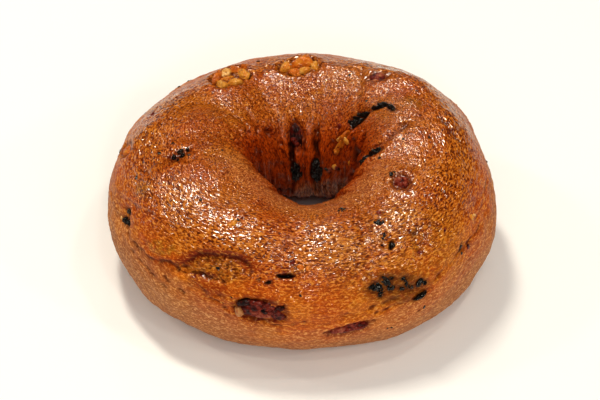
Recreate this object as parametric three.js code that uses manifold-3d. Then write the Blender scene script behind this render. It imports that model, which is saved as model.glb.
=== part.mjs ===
// A baked fruit and nut bagel: a thick, uneven ring of dough with dried cranberries, raisins and
// walnuts held in its crust. Millimetres, +Z up, standing on its flat base, the origin under the
// middle of the whole. The azimuth is 0 at the front (-Y) and 90 degrees at the right (+X). The
// section angle is 0 at the widest part of the outside, 90 at the crown, 180 at the throat of the
// hole and -90 under the ring.

import * as THREE from 'three';
import { mergeVertices } from 'three/addons/utils/BufferGeometryUtils.js';
import Module from 'manifold-3d';

const wasm = await Module();
wasm.setup();

// Driving dimensions of the ring
const OUTER_RADIUS = 55;
const HOLE_RADIUS = 13.1;
const CROWN_HEIGHT = 40.3;
const WIDEST_HEIGHT = 20;
const THROAT_HEIGHT = 13.4;
const OUTER_CENTRE = [-0.35, -0.1];
const HOLE_CENTRE = [0.76, 2.6];

// Where the crown lies between the hole and the outside, and where the flat base cuts the section
const CROWN_SHARE = 0.58;
const BASE_CUT = 0.893;

// Uneven rise of the dough: the cosine and sine sizes of one, two and three waves round the ring
const OUTER_SWELL = [[0, 0], [-0.96, 0.64], [-1.02, -0.15]];
const HOLE_SWELL = [[0, 0], [-2.4, 0.17], [0.84, 0.04]];
const CROWN_SWELL = [[-0.37, 1.27], [-1.51, -1.51]];
const THROAT_SWELL = [[0, 0], [-1.24, 0]];
const SHARE_SWELL = [[0, 0], [-0.04, 0]];
const SHOULDER_SWELL = [[0.3, -0.47], [-1.13, 0]];

// Roundness of the quarters of the section, as powers of a superellipse
const OUTER_TOP_POWER = 1.84;
const LOWER_POWER = 1.95;
const INNER_TOP_POWER = 2.6;
const INNER_TOP_LEAST = 1.75;
const WIDEST_POWER = 0.8;

// Steps of the surface, and the height over which relief fades out towards the flat base
const RING_STEPS = 76;
const SECTION_STEPS = 42;
const PATH_STEPS = 5;
const BASE_FADE = 5;

// Clearance between the dough and what is held in it
const GAP = 0.3;

// Lumpiness of the crust: waves round the ring, waves along the section, height and phase
const LUMPS = [
  { around: 5, along: 3, height: 0.35, phase: 0.7 },
  { around: 9, along: 2, height: 0.35, phase: 2.1 },
  { around: 13, along: 5, height: 0.25, phase: 4.4 },
];

// Hollows of the crust: the place of the middle as azimuth and section angle, then the turn of the
// long side, and length, width and depth
const HOLLOWS = [
  { place: [331, 37], turn: 12, length: 27, width: 11, depth: 2.6 },
  { place: [292, 27], turn: -8, length: 15, width: 10, depth: 1.6 },
  { place: [33, 61], turn: 0, length: 11, width: 5, depth: 1.2 },
  { place: [128, 133], turn: -130, length: 15, width: 8, depth: 1.4 },
  { place: [282, 92], turn: 131, length: 13, width: 8, depth: 1.2 },
];

// Furrows of the crust, each through two or more places, with its depth and half width
const FURROWS = [
  { path: [[291, 20], [305, 27], [318, 25], [332, 8]], depth: 1, width: 2 },
  { path: [[348, -5], [8, 7], [30, 15]], depth: 0.7, width: 1.4 },
  { path: [[98, 90], [91, 82], [88, 68]], depth: 1.5, width: 1.6 },
  { path: [[96, 106], [87, 120], [79, 152]], depth: 1.6, width: 1.7 },
  { path: [[141, 118], [150, 95]], depth: 0.9, width: 1.6 },
  { path: [[228, 108], [238, 84]], depth: 0.9, width: 1.8 },
  { path: [[196, 20], [172, 5], [148, 12]], depth: 1, width: 2 },
  { path: [[250, 15], [232, 2], [214, -6]], depth: 0.8, width: 1.8 },
];

// Pleats of the dough round the hole: the azimuths at their upper and lower ends, and the depth
const PLEAT_SPAN = [126, 196];
const PLEAT_WIDTH = 1.3;
const PLEATS = [
  [12, 18, 0.9], [37, 30, 1.1], [58, 55, 0.9], [108, 112, 1], [148, 161, 1.8], [176, 176, 0.9],
  [196, 192, 1.8], [214, 208, 1.1], [229, 226, 1.3], [247, 240, 1], [268, 260, 1.2],
  [289, 283, 0.9], [312, 306, 1.1], [338, 343, 1],
];

// How each kind of piece is shaped: squareness of its outline, depth of its wrinkles, their waves
// over its surface
const CRANBERRY = { square: 2.3, wrinkle: 0.07, waves: 3, finish: 'cranberry' };
const WALNUT = { square: 2.9, wrinkle: 0.12, waves: 3, finish: 'walnut' };
const RAISIN = { square: 2.2, wrinkle: 0.1, waves: 4, finish: 'raisin' };

// Lobes up to this length are plain crumbs with twenty faces, longer ones have each face split in four
const CRUMB_LENGTH = 5;

// Pieces in the crust. Each lobe is given as its offset along and across from the place, its
// length, width and depth, its height over the crust, and its own turn
const PIECES = [
  { name: 'cranberry_front', kind: CRANBERRY, place: [347.5, 12], turn: 4, dip: 1.5,
    lobes: [[0, 0, 15.6, 7.4, 6.4, 0.9, 0]] },
  { name: 'cranberry_slit', kind: CRANBERRY, place: [14.4, -9], turn: 11, dip: 0.9,
    lobes: [[0, 0, 11.4, 4, 4, 0.6, 0]] },
  { name: 'cranberry_right', kind: CRANBERRY, place: [55.3, 97], turn: 35, dip: 0.8,
    lobes: [[0, 0, 8.2, 6.6, 5, 1.4, 0]] },
  { name: 'cranberry_back', kind: CRANBERRY, place: [138.6, 98], turn: -143, dip: 0.3,
    lobes: [[0, 0, 6.2, 4.4, 4, 1.3, 0]] },
  { name: 'cranberry_hole', kind: CRANBERRY, place: [187.6, 143], turn: 92, dip: 0.4,
    lobes: [[0, 0, 8.2, 4.6, 4, 1, 0]] },
  { name: 'cranberry_rear', kind: CRANBERRY, place: [158, 24], turn: 18, dip: 1,
    lobes: [[0, 0, 12, 6, 5.4, 0.9, 0]] },
  { name: 'cranberry_left_low', kind: CRANBERRY, place: [247, -8], turn: -8, dip: 0.8,
    lobes: [[0, 0, 9.6, 4.4, 4.2, 0.7, 0]] },
  { name: 'walnut_back_left', kind: WALNUT, place: [213.5, 84], turn: 0, dip: 0.6,
    lobes: [
      [0, 0, 10, 6.4, 5, 0.8, 0], [3.9, 2.1, 4.8, 4, 4, 1.3, 30], [0.8, 3.2, 4.6, 3.8, 4, 1.1, 0],
      [-3.2, 1.8, 5.2, 3.8, 4, 1.4, 10], [2.7, -3, 5.6, 3.6, 4, 1.3, -12],
      [-2.4, -2.6, 4.6, 3.6, 4, 1.5, 40],
    ] },
  { name: 'walnut_back', kind: WALNUT, place: [181.2, 86], turn: 0, dip: 0.6,
    lobes: [
      [0, 0.4, 10, 6.4, 5, 0.7, 0], [-0.4, -1.2, 7, 5, 5, 1.9, 12], [3.9, -1.8, 4.4, 4.2, 4, 1.2, 0],
      [-4, 0.8, 4.8, 3.4, 4, 1.3, 50], [2, 3.4, 4.6, 3.4, 3.6, 1, 0],
    ] },
  { name: 'walnut_hole', kind: WALNUT, place: [138.5, 151.5], turn: -132, dip: 0.4,
    lobes: [[0, 0, 7.6, 4.2, 4.4, 1.2, 0]] },
  { name: 'walnut_left', kind: WALNUT, place: [267, 49], turn: 30, dip: 0.5,
    lobes: [[0, 0, 7, 4.8, 4.6, 1.3, 0]] },
  { name: 'walnut_rear_right', kind: WALNUT, place: [116, 34], turn: 24, dip: 0.6,
    lobes: [[0, 0, 8, 5.4, 4.8, 1.3, 0], [-3.4, 2, 4.8, 4, 4, 0.9, 30]] },
  { name: 'raisin_long', kind: RAISIN, place: [127, 131], turn: -130, dip: 0.4,
    lobes: [[0, 0, 10.6, 3.6, 3.6, 0.7, 0]] },
  { name: 'raisin_inner_right', kind: RAISIN, place: [116.5, 113], turn: -150, dip: 0.3,
    lobes: [[0, 0, 6.8, 3, 3, 0.7, 0]] },
  { name: 'raisin_crease', kind: RAISIN, place: [77.6, 138], turn: -68, dip: 0.4,
    lobes: [[0, 0, 9, 3.2, 3.2, 0.7, 0]] },
  { name: 'raisin_hole_left', kind: RAISIN, place: [192.1, 168], turn: 95, dip: 0.4,
    lobes: [[0, 0, 6.2, 3.4, 3.4, 0.9, 0]] },
  { name: 'raisin_hole_right', kind: RAISIN, place: [160.5, 168], turn: 80, dip: 0.4,
    lobes: [[0, 0, 7.2, 3.2, 3.2, 0.8, 0]] },
  { name: 'raisin_right', kind: RAISIN, place: [29.6, 25.5], turn: -16, dip: 0.8,
    lobes: [
      [0, 0, 14, 4.4, 4, -0.2, 0], [-5, 0.6, 5, 3.4, 3.6, 0.8, 10], [-0.4, 1.4, 5, 3.2, 3.6, 0.6, -20],
      [3.2, -0.6, 3.8, 3.4, 3.6, 0.8, 60], [6.2, -1, 4.6, 2.8, 3.4, 0.5, 0],
    ] },
  { name: 'raisin_left', kind: RAISIN, place: [281.8, 92], turn: 131, dip: 0.2,
    lobes: [[-1.8, 0, 5, 3.4, 3.2, 0.8, 20], [1.8, 0.2, 4.8, 3, 3.2, 0.8, -14]] },
  { name: 'raisin_left_low', kind: RAISIN, place: [292.4, 28], turn: -8, dip: 0.2,
    lobes: [[-1.8, 0.4, 5, 3.6, 3.6, 0.6, 20], [2, -0.4, 5, 3.4, 3.4, 0.6, -10]] },
  { name: 'raisin_rear', kind: RAISIN, place: [222, 34], turn: -30, dip: 0.3,
    lobes: [[0, 0, 7.6, 3.6, 3.6, 0.8, 0]] },
  { name: 'raisin_right_low', kind: RAISIN, place: [100, 6], turn: 16, dip: 0.3,
    lobes: [[0, 0, 7.4, 3.2, 3.2, 0.7, 0]] },
];

const FINISHES = {
  dough: { color: 0xa9682f, roughness: 0.42, metalness: 0 },
  cranberry: { color: 0x5c1512, roughness: 0.3, metalness: 0 },
  walnut: { color: 0xc98c3c, roughness: 0.55, metalness: 0 },
  raisin: { color: 0x2c1b15, roughness: 0.4, metalness: 0 },
};

const { sin, cos, abs, sign, asin, max, min, exp, hypot, PI } = Math;
const rad = (degrees) => (degrees * PI) / 180;
const power = (x, p) => sign(x) * abs(x) ** p;

function smooth(x) {
  const k = min(max(x, 0), 1);
  return k * k * (3 - 2 * k);
}

// Height of a swell at an azimuth.
function swell(waves, azimuth) {
  const wave = ([c, s], k) => c * cos((k + 1) * azimuth) + s * sin((k + 1) * azimuth);
  return waves.reduce((total, pair, k) => total + wave(pair, k), 0);
}

// Point of the smooth crust at an azimuth and a section angle in radians: a superellipse between
// the hole and the outside, whose widest level falls from the outside to the throat, cut flat below.
function crustPoint(azimuth, section) {
  const out = [sin(azimuth), -cos(azimuth)];
  const outerRadius = OUTER_RADIUS + swell(OUTER_SWELL, azimuth);
  const holeRadius = HOLE_RADIUS + swell(HOLE_SWELL, azimuth);
  const share = CROWN_SHARE + swell(SHARE_SWELL, azimuth);
  const crown = CROWN_HEIGHT + swell(CROWN_SWELL, azimuth);
  const throat = THROAT_HEIGHT + swell(THROAT_SWELL, azimuth);
  const shoulder = max(INNER_TOP_POWER + swell(SHOULDER_SWELL, azimuth), INNER_TOP_LEAST);
  const c = cos(section);
  const s = sin(section);
  const upperPower = c > 0 ? OUTER_TOP_POWER : shoulder;
  const curve = 2 / (s < 0 ? LOWER_POWER : upperPower);
  const across = power(c, curve);
  const rise = power(s, curve);
  const [x, y] = out.map((direction, axis) => {
    const outside = OUTER_CENTRE[axis] + outerRadius * direction;
    const hole = HOLE_CENTRE[axis] + holeRadius * direction;
    const middle = hole + share * (outside - hole);
    return middle + across * (c > 0 ? outside - middle : middle - hole);
  });
  const widest = throat + (WIDEST_HEIGHT - throat) * 0.5 * (1 + power(c, WIDEST_POWER));
  const z = s < 0 ? max(widest * (1 + rise / BASE_CUT), 0) : widest + (crown - widest) * rise;
  return new THREE.Vector3(x, y, z);
}

// Directions on the crust at a place: along the ring, up the section and out of the dough.
function crustAxes(azimuth, section) {
  const step = rad(0.5);
  const along = crustPoint(azimuth + step, section).sub(crustPoint(azimuth - step, section));
  const rough = crustPoint(azimuth, section + step).sub(crustPoint(azimuth, section - step));
  const out = along.clone().cross(rough).normalize();
  along.normalize();
  return { along, up: out.clone().cross(along), out };
}

// Frame of a place given in degrees, turned about the way out of the dough.
function placeFrame([azimuth, section], turn) {
  const { along, up, out } = crustAxes(rad(azimuth), rad(section));
  const frame = new THREE.Matrix4().makeBasis(along, up, out);
  frame.multiply(new THREE.Matrix4().makeRotationZ(rad(turn)));
  return frame.setPosition(crustPoint(rad(azimuth), rad(section)));
}

// Lines over the smooth crust through the given places.
function crustPath(places) {
  const points = places.slice(1).flatMap(([azimuth, section], i) => {
    const [fromAzimuth, fromSection] = places[i];
    const span = azimuth - fromAzimuth - 360 * Math.round((azimuth - fromAzimuth) / 360);
    return Array.from({ length: PATH_STEPS }, (_, k) => {
      const share = k / PATH_STEPS;
      const rise = section - fromSection;
      return crustPoint(rad(fromAzimuth + share * span), rad(fromSection + share * rise));
    });
  });
  const [azimuth, section] = places.at(-1);
  points.push(crustPoint(rad(azimuth), rad(section)));
  return points.slice(1).map((point, i) => new THREE.Line3(points[i], point));
}

const pleats = PLEATS.map(([top, bottom, depth]) => ({
  path: [[top, PLEAT_SPAN[0]], [bottom, PLEAT_SPAN[1]]],
  depth,
  width: PLEAT_WIDTH,
}));
const furrows = [...FURROWS, ...pleats].map((furrow) => ({
  ...furrow,
  lines: crustPath(furrow.path),
}));

// Dips round the pieces have the shape of a hollow half as large again as the first lobe.
const dips = PIECES.map(({ place, turn, dip, lobes: [[, , length, width]] }) => ({
  place,
  turn,
  length: 1.5 * length,
  width: 1.7 * width,
  depth: dip,
}));
const hollows = [...HOLLOWS, ...dips].map((hollow) => ({
  ...hollow,
  inverse: placeFrame(hollow.place, hollow.turn).invert(),
}));

// Depth of a furrow at a point, a bell across its line.
function furrowDepth({ lines, depth, width }, point) {
  const nearest = new THREE.Vector3();
  const distances = lines.map((line) => {
    line.closestPointToPoint(point, true, nearest);
    return nearest.distanceTo(point);
  });
  return depth * exp(-((min(...distances) / width) ** 2));
}

// Depth of a hollow at a point, a smooth bowl over its ellipse.
function hollowDepth({ inverse, length, width, depth }, point) {
  const local = point.clone().applyMatrix4(inverse);
  const reach = hypot(local.x / (length / 2), local.y / (width / 2), local.z / (length / 2));
  return depth * (1 - smooth(reach));
}

// Point of the real crust: the smooth one moved in or out by its lumps, furrows and hollows.
function doughPoint(azimuth, section) {
  const point = crustPoint(azimuth, section);
  const { out } = crustAxes(azimuth, section);
  let height = 0;
  LUMPS.forEach((lump) => {
    height += lump.height * sin(lump.around * azimuth + lump.phase) * cos(lump.along * section);
  });
  furrows.forEach((furrow) => {
    height -= furrowDepth(furrow, point);
  });
  hollows.forEach((hollow) => {
    height -= hollowDepth(hollow, point);
  });
  return point.addScaledVector(out, height * smooth(point.z / BASE_FADE));
}

function toManifold(positions, triangles) {
  const mesh = new wasm.Mesh({
    numProp: 3,
    vertProperties: new Float32Array(positions),
    triVerts: new Uint32Array(triangles),
  });
  return new wasm.Manifold(mesh);
}

function toGeometry(solid) {
  const mesh = solid.getMesh();
  const geometry = new THREE.BufferGeometry();
  geometry.setAttribute('position', new THREE.BufferAttribute(mesh.vertProperties, 3));
  geometry.setIndex(new THREE.BufferAttribute(mesh.triVerts, 1));
  return geometry;
}

// The dough as rings of points from one edge of the flat base over the crown to the other edge.
function doughSolid() {
  const edge = asin(BASE_CUT ** (LOWER_POWER / 2));
  const rows = SECTION_STEPS + 1;
  const positions = [];
  const triangles = [];
  for (let i = 0; i < RING_STEPS; i += 1) {
    for (let j = 0; j < rows; j += 1) {
      const section = -edge + (j / SECTION_STEPS) * (PI + 2 * edge);
      positions.push(...doughPoint((2 * PI * i) / RING_STEPS, section).toArray());
      const next = ((i + 1) % RING_STEPS) * rows;
      const above = (j + 1) % rows;
      triangles.push(i * rows + j, next + j, next + above);
      triangles.push(i * rows + j, next + above, i * rows + above);
    }
  }
  return toManifold(positions, triangles);
}

// A ball pressed into a rounded block and wrinkled by waves over its surface, grown by a margin.
function lobeSolid(kind, [x, y, length, width, depth, height, turn], seed, margin) {
  const ball = new THREE.IcosahedronGeometry(1, length > CRUMB_LENGTH ? 1 : 0);
  ball.deleteAttribute('normal');
  ball.deleteAttribute('uv');
  const geometry = mergeVertices(ball);
  const position = geometry.getAttribute('position');
  const point = new THREE.Vector3();
  for (let i = 0; i < position.count; i += 1) {
    point.fromBufferAttribute(position, i);
    const norm = abs(point.x) ** kind.square + abs(point.y) ** kind.square + abs(point.z) ** kind.square;
    const wave = sin(kind.waves * point.x + seed) * cos(kind.waves * point.y + 2 * seed);
    point.multiplyScalar((1 + kind.wrinkle * wave) / norm ** (1 / kind.square));
    position.setXYZ(i, point.x, point.y, point.z);
  }
  geometry.scale(length / 2 + margin, width / 2 + margin, depth / 2 + margin);
  geometry.rotateZ(rad(turn));
  geometry.translate(x, y, height - depth / 2);
  return toManifold(geometry.getAttribute('position').array, geometry.index.array);
}

function pieceSolid({ kind, lobes }, margin) {
  const solids = lobes.map((lobe, i) => lobeSolid(kind, lobe, lobe[2] + i, margin));
  return solids.reduce((whole, lobe) => whole.add(lobe));
}

function namedMesh(name, finish, geometry) {
  const mesh = new THREE.Mesh(geometry, new THREE.MeshStandardMaterial(FINISHES[finish]));
  mesh.name = name;
  return mesh;
}

// The largest body of a solid, without the scraps that a cut leaves.
function largestBody(solid) {
  return solid.decompose().reduce((best, body) => (body.volume() > best.volume() ? body : best));
}

const bagel = new THREE.Group();
let dough = doughSolid();
PIECES.forEach((piece) => {
  const frame = placeFrame(piece.place, piece.turn);
  dough = dough.subtract(pieceSolid(piece, GAP).transform(frame.elements));
  const mesh = namedMesh(piece.name, piece.kind.finish, toGeometry(pieceSolid(piece, 0)));
  frame.decompose(mesh.position, mesh.quaternion, mesh.scale);
  bagel.add(mesh);
});
bagel.add(namedMesh('dough', 'dough', toGeometry(largestBody(dough))));

export default bagel;
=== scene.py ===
"""A baked fruit and nut bagel, dressed for its picture.

The ring of dough is one surface over an azimuth and a section angle, with swells, furrows, pleats,
hollows and wrinkles on it. Dried cranberries, walnut pieces and raisins lie in its crust. The
azimuth is 0 at the front and 90 degrees at the right. The section angle is 0 at the widest part of
the outside, 90 at the crown, 180 at the throat of the hole and -90 under the ring. Shapes are
worked out in millimetres and become metres when a mesh is made.
"""

import logging
from dataclasses import dataclass, field
from enum import Enum
from typing import Any, ClassVar

import bpy
import numpy as np
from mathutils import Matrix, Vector


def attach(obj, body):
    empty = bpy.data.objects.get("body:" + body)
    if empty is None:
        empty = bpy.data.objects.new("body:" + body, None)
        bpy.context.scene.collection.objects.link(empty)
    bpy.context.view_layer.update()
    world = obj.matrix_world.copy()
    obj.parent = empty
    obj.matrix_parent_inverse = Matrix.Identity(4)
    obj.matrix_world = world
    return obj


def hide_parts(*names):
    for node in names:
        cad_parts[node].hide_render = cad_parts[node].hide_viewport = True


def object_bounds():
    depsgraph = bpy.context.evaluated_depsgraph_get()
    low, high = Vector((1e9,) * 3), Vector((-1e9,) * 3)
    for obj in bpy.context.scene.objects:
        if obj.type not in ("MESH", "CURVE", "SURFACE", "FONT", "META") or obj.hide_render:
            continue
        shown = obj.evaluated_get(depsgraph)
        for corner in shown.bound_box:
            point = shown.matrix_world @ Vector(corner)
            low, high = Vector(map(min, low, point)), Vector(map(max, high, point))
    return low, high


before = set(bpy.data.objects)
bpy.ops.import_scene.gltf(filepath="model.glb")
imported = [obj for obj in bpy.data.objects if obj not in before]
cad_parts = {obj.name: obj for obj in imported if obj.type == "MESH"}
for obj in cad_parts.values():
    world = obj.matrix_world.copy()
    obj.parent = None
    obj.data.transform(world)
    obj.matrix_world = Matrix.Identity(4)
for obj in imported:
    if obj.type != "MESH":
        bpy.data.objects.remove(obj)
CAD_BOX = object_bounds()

Array = np.ndarray
Waves = tuple[tuple[float, float], ...]
Path = tuple[tuple[float, float], ...]
Socket = bpy.types.NodeSocket

LOG = logging.getLogger("bagel")
MM = 0.001
BODY = "root"
IMAGE_WIDTH = 600

# A noise texture's heights spread over about a quarter of 0 to 1, so a bump's distance is this many
# times the height that it should show
NOISE_GAIN = 4


class Tint(Enum):
    """Colours that patches of the crust can take, each kept in a mesh attribute of that name."""

    # DARK is painted shade in slits, pits and crevices
    DARK = "dark"
    RED = "red"
    AMBER = "amber"
    RUST = "rust"


class Edge(Enum):
    """How a hollow's rim falls: a soft bowl, a sharp slit, or a ledge over its upper side."""

    SOFT = "soft"
    SHARP = "sharp"
    LEDGE = "ledge"


def smooth(x: Array) -> Array:
    """Step from 0 to 1 with level ends: 3k^2 - 2k^3 of x held between 0 and 1."""
    k = np.clip(x, 0, 1)
    return k * k * (3 - 2 * k)


@dataclass(frozen=True)
class Band:
    """A stretch of an angle, in degrees, that fades in over its rise and out over its fall."""

    start: float
    rise: float
    end: float
    fall: float

    def share(self, degrees: Array) -> Array:
        """Share of the band at each angle, 1 inside it and 0 outside."""
        return smooth((degrees - self.start) / self.rise) * smooth((self.end - degrees) / self.fall)


def power(x: Array, exponent: Array | float) -> Array:
    """Power of the size of x, with the sign of x."""
    return np.sign(x) * np.abs(x) ** exponent


def unit(vectors: Array) -> Array:
    """Vectors along the last axis, each of length one."""
    return vectors / np.linalg.norm(vectors, axis=-1, keepdims=True)


def colour(code: str, alpha: float = 1.0) -> tuple[float, float, float, float]:
    """Linear colour of an sRGB hex value.

    Args:
        code: Six hex digits after a hash sign.
        alpha: Opacity.

    Returns:
        Red, green, blue and alpha, the first three by the sRGB curve.
    """
    parts = [int(code[i : i + 2], 16) / 255 for i in (1, 3, 5)]
    linear = [c / 12.92 if c <= 0.04045 else ((c + 0.055) / 1.055) ** 2.4 for c in parts]
    return (*linear, alpha)


def add_node(tree: bpy.types.NodeTree, kind: str, settings: dict[str, Any] | None = None,
             inputs: dict[Any, Any] | None = None) -> bpy.types.Node:
    """Adds a node with its settings and what goes into it.

    Args:
        tree: Node tree that takes the node.
        kind: Node type, without its ShaderNode prefix.
        settings: Properties by name. The name stops gives a ramp's places and colours.
        inputs: Values or other nodes' sockets by input name or number.

    Returns:
        The new node.
    """
    node = tree.nodes.new("ShaderNode" + kind)
    for name, value in (settings or {}).items():
        if name == "stops":
            ramp = node.color_ramp.elements
            while len(ramp) < len(value):
                ramp.new(1.0)
            for element, (place, stop) in zip(ramp, value):
                element.position = place
                element.color = stop
        else:
            setattr(node, name, value)
    for name, value in (inputs or {}).items():
        if isinstance(value, Socket):
            tree.links.new(value, node.inputs[name])
        else:
            node.inputs[name].default_value = value
    return node


def new_material(name: str) -> tuple[bpy.types.Material, bpy.types.NodeTree, Socket]:
    """Empty node material.

    Args:
        name: Material name.

    Returns:
        The material, its tree and the surface socket that its shader goes to.
    """
    material = bpy.data.materials.new(name)
    material.use_nodes = True
    material.node_tree.nodes.clear()
    output = add_node(material.node_tree, "OutputMaterial")
    return material, material.node_tree, output.inputs["Surface"]


@dataclass(frozen=True)
class Grain:
    """Seeded noise in space, for lumps, wrinkles and the spread of small things."""

    seed: int
    table_size: ClassVar[int] = 256
    gain: ClassVar[float] = 1.6

    def noise(self, points: Array) -> Array:
        """Noise of about -1 to 1 with a period of about two units.

        Every whole-number corner of space has a random direction. A corner's value is the dot
        product of its direction with the way from it to the point, and the eight nearest values are
        blended by the fade 6t^5 - 15t^4 + 10t^3 on each axis.

        Args:
            points: Points in space, their coordinates along the last axis.

        Returns:
            One value for each point.
        """
        rng = np.random.default_rng(self.seed)
        order = np.tile(rng.permutation(self.table_size), 2)
        slopes = unit(rng.normal(size=(self.table_size, 3)))
        cell = np.floor(points).astype(int)
        inside = points - cell
        fade = inside**3 * (inside * (6 * inside - 15) + 10)
        total = np.zeros(points.shape[:-1])
        for corner in np.ndindex(2, 2, 2):
            spot = (cell + corner) & (self.table_size - 1)
            pick = order[order[order[spot[..., 0]] + spot[..., 1]] + spot[..., 2]]
            weight = np.prod(np.where(corner, fade, 1 - fade), axis=-1)
            total += weight * (slopes[pick] * (inside - corner)).sum(-1)
        return self.gain * total

    def fractal(self, points: Array, octaves: int) -> Array:
        """Sum of noises, each of half the last one's size and period."""
        layers = [0.5**k * Grain(self.seed + k).noise(points * 2**k) for k in range(octaves)]
        return sum(layers)

    def ridged(self, points: Array) -> Array:
        """Narrow ridges where the noise passes zero: 1 - 2|noise|, held at -1."""
        return np.maximum(1 - 2 * np.abs(self.noise(points)), -1)


@dataclass(frozen=True)
class Place:
    """A place on the crust in degrees, and the turn of what lies there."""

    azimuth: float
    section: float
    turn: float = 0.0


@dataclass(frozen=True)
class RingForm:
    """The smooth ring in millimetres, the same form as the solid's."""

    outer_radius: float = 55
    hole_radius: float = 13.1
    crown_height: float = 40.3
    widest_height: float = 20
    throat_height: float = 13.4
    outer_centre: tuple[float, float] = (-0.35, -0.1)
    hole_centre: tuple[float, float] = (0.76, 2.6)
    crown_share: float = 0.58
    base_cut: float = 0.893
    outer_swell: Waves = ((0, 0), (-0.96, 0.64), (-1.02, -0.15))
    hole_swell: Waves = ((0, 0), (-2.4, 0.17), (0.84, 0.04))
    crown_swell: Waves = ((-0.37, 1.27), (-1.51, -1.51))
    throat_swell: Waves = ((0, 0), (-1.24, 0))
    share_swell: Waves = ((0, 0), (-0.04, 0))
    shoulder_swell: Waves = ((0.3, -0.47), (-1.13, 0))
    outer_top_power: float = 1.84
    lower_power: float = 1.95
    inner_top_power: float = 2.6
    inner_top_least: float = 1.75
    widest_power: float = 0.8

    @staticmethod
    def swell(waves: Waves, azimuth: Array) -> Array | float:
        """Sum of cosine and sine waves, the k-th pair with k waves round the ring."""
        return sum(c * np.cos(k * azimuth) + s * np.sin(k * azimuth)
                   for k, (c, s) in enumerate(waves, start=1))

    def points(self, azimuth: Array, section: Array) -> Array:
        """Points of the smooth crust.

        Between the hole and the outside the section is a superellipse about the crown line, with a
        power of its own for each quarter. Its widest level falls from the outside to the throat,
        and its lower half is stretched down and cut flat at the base.

        Args:
            azimuth: Angles round the ring, in radians.
            section: Angles round the section, in radians.

        Returns:
            Points in millimetres, one more axis than the angles have.
        """
        azimuth, section = np.broadcast_arrays(azimuth, section)
        out = np.stack([np.sin(azimuth), -np.cos(azimuth)], axis=-1)
        outer = self.outer_radius + self.swell(self.outer_swell, azimuth)
        hole = self.hole_radius + self.swell(self.hole_swell, azimuth)
        share = self.crown_share + self.swell(self.share_swell, azimuth)
        crown = self.crown_height + self.swell(self.crown_swell, azimuth)
        throat = self.throat_height + self.swell(self.throat_swell, azimuth)
        shoulder = self.inner_top_power + self.swell(self.shoulder_swell, azimuth)
        shoulder = np.maximum(shoulder, self.inner_top_least)
        c, s = np.cos(section), np.sin(section)
        upper = np.where(c > 0, self.outer_top_power, shoulder)
        curve = 2 / np.where(s < 0, self.lower_power, upper)
        across, rise = power(c, curve), power(s, curve)
        outside = np.array(self.outer_centre) + outer[..., None] * out
        inside = np.array(self.hole_centre) + hole[..., None] * out
        middle = inside + share[..., None] * (outside - inside)
        half = np.where((c > 0)[..., None], outside - middle, middle - inside)
        flat = middle + across[..., None] * half
        widest = throat + (self.widest_height - throat) * 0.5 * (1 + power(c, self.widest_power))
        low = np.maximum(widest * (1 + rise / self.base_cut), 0)
        high = widest + (crown - widest) * rise
        return np.concatenate([flat, np.where(s < 0, low, high)[..., None]], axis=-1)

    def axes(self, azimuth: Array, section: Array) -> Array:
        """Directions along the ring, up the section and out of the dough, as rows.

        They come from differences of the surface over half a degree each way: the way out is the
        cross product of the two tangents.

        Args:
            azimuth: Angles round the ring, in radians.
            section: Angles round the section, in radians.

        Returns:
            Three unit vectors for each pair of angles.
        """
        step = np.radians(0.5)
        along = unit(self.points(azimuth + step, section) - self.points(azimuth - step, section))
        rough = self.points(azimuth, section + step) - self.points(azimuth, section - step)
        out = unit(np.cross(along, rough))
        return np.stack([along, np.cross(out, along), out], axis=-2)

    def frame(self, place: Place) -> tuple[Array, Array]:
        """Point of a place and its three directions.

        Args:
            place: Place on the crust.

        Returns:
            The point, and the directions as rows, the first two turned by the place's turn.
        """
        azimuth, section = np.radians(place.azimuth), np.radians(place.section)
        along, up, out = self.axes(azimuth, section)
        turn = np.radians(place.turn)
        turned = np.cos(turn) * along + np.sin(turn) * up
        return self.points(azimuth, section), np.stack([turned, np.cross(out, turned), out])

    def local(self, place: Place, points: Array) -> Array:
        """Points as seen from a place: along, across and out of the crust there."""
        origin, axes = self.frame(place)
        return (points - origin) @ axes.T

    def base_edge(self) -> float:
        """Section angle below the widest level at which the flat base begins, in radians."""
        return float(np.arcsin(self.base_cut ** (self.lower_power / 2)))


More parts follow.
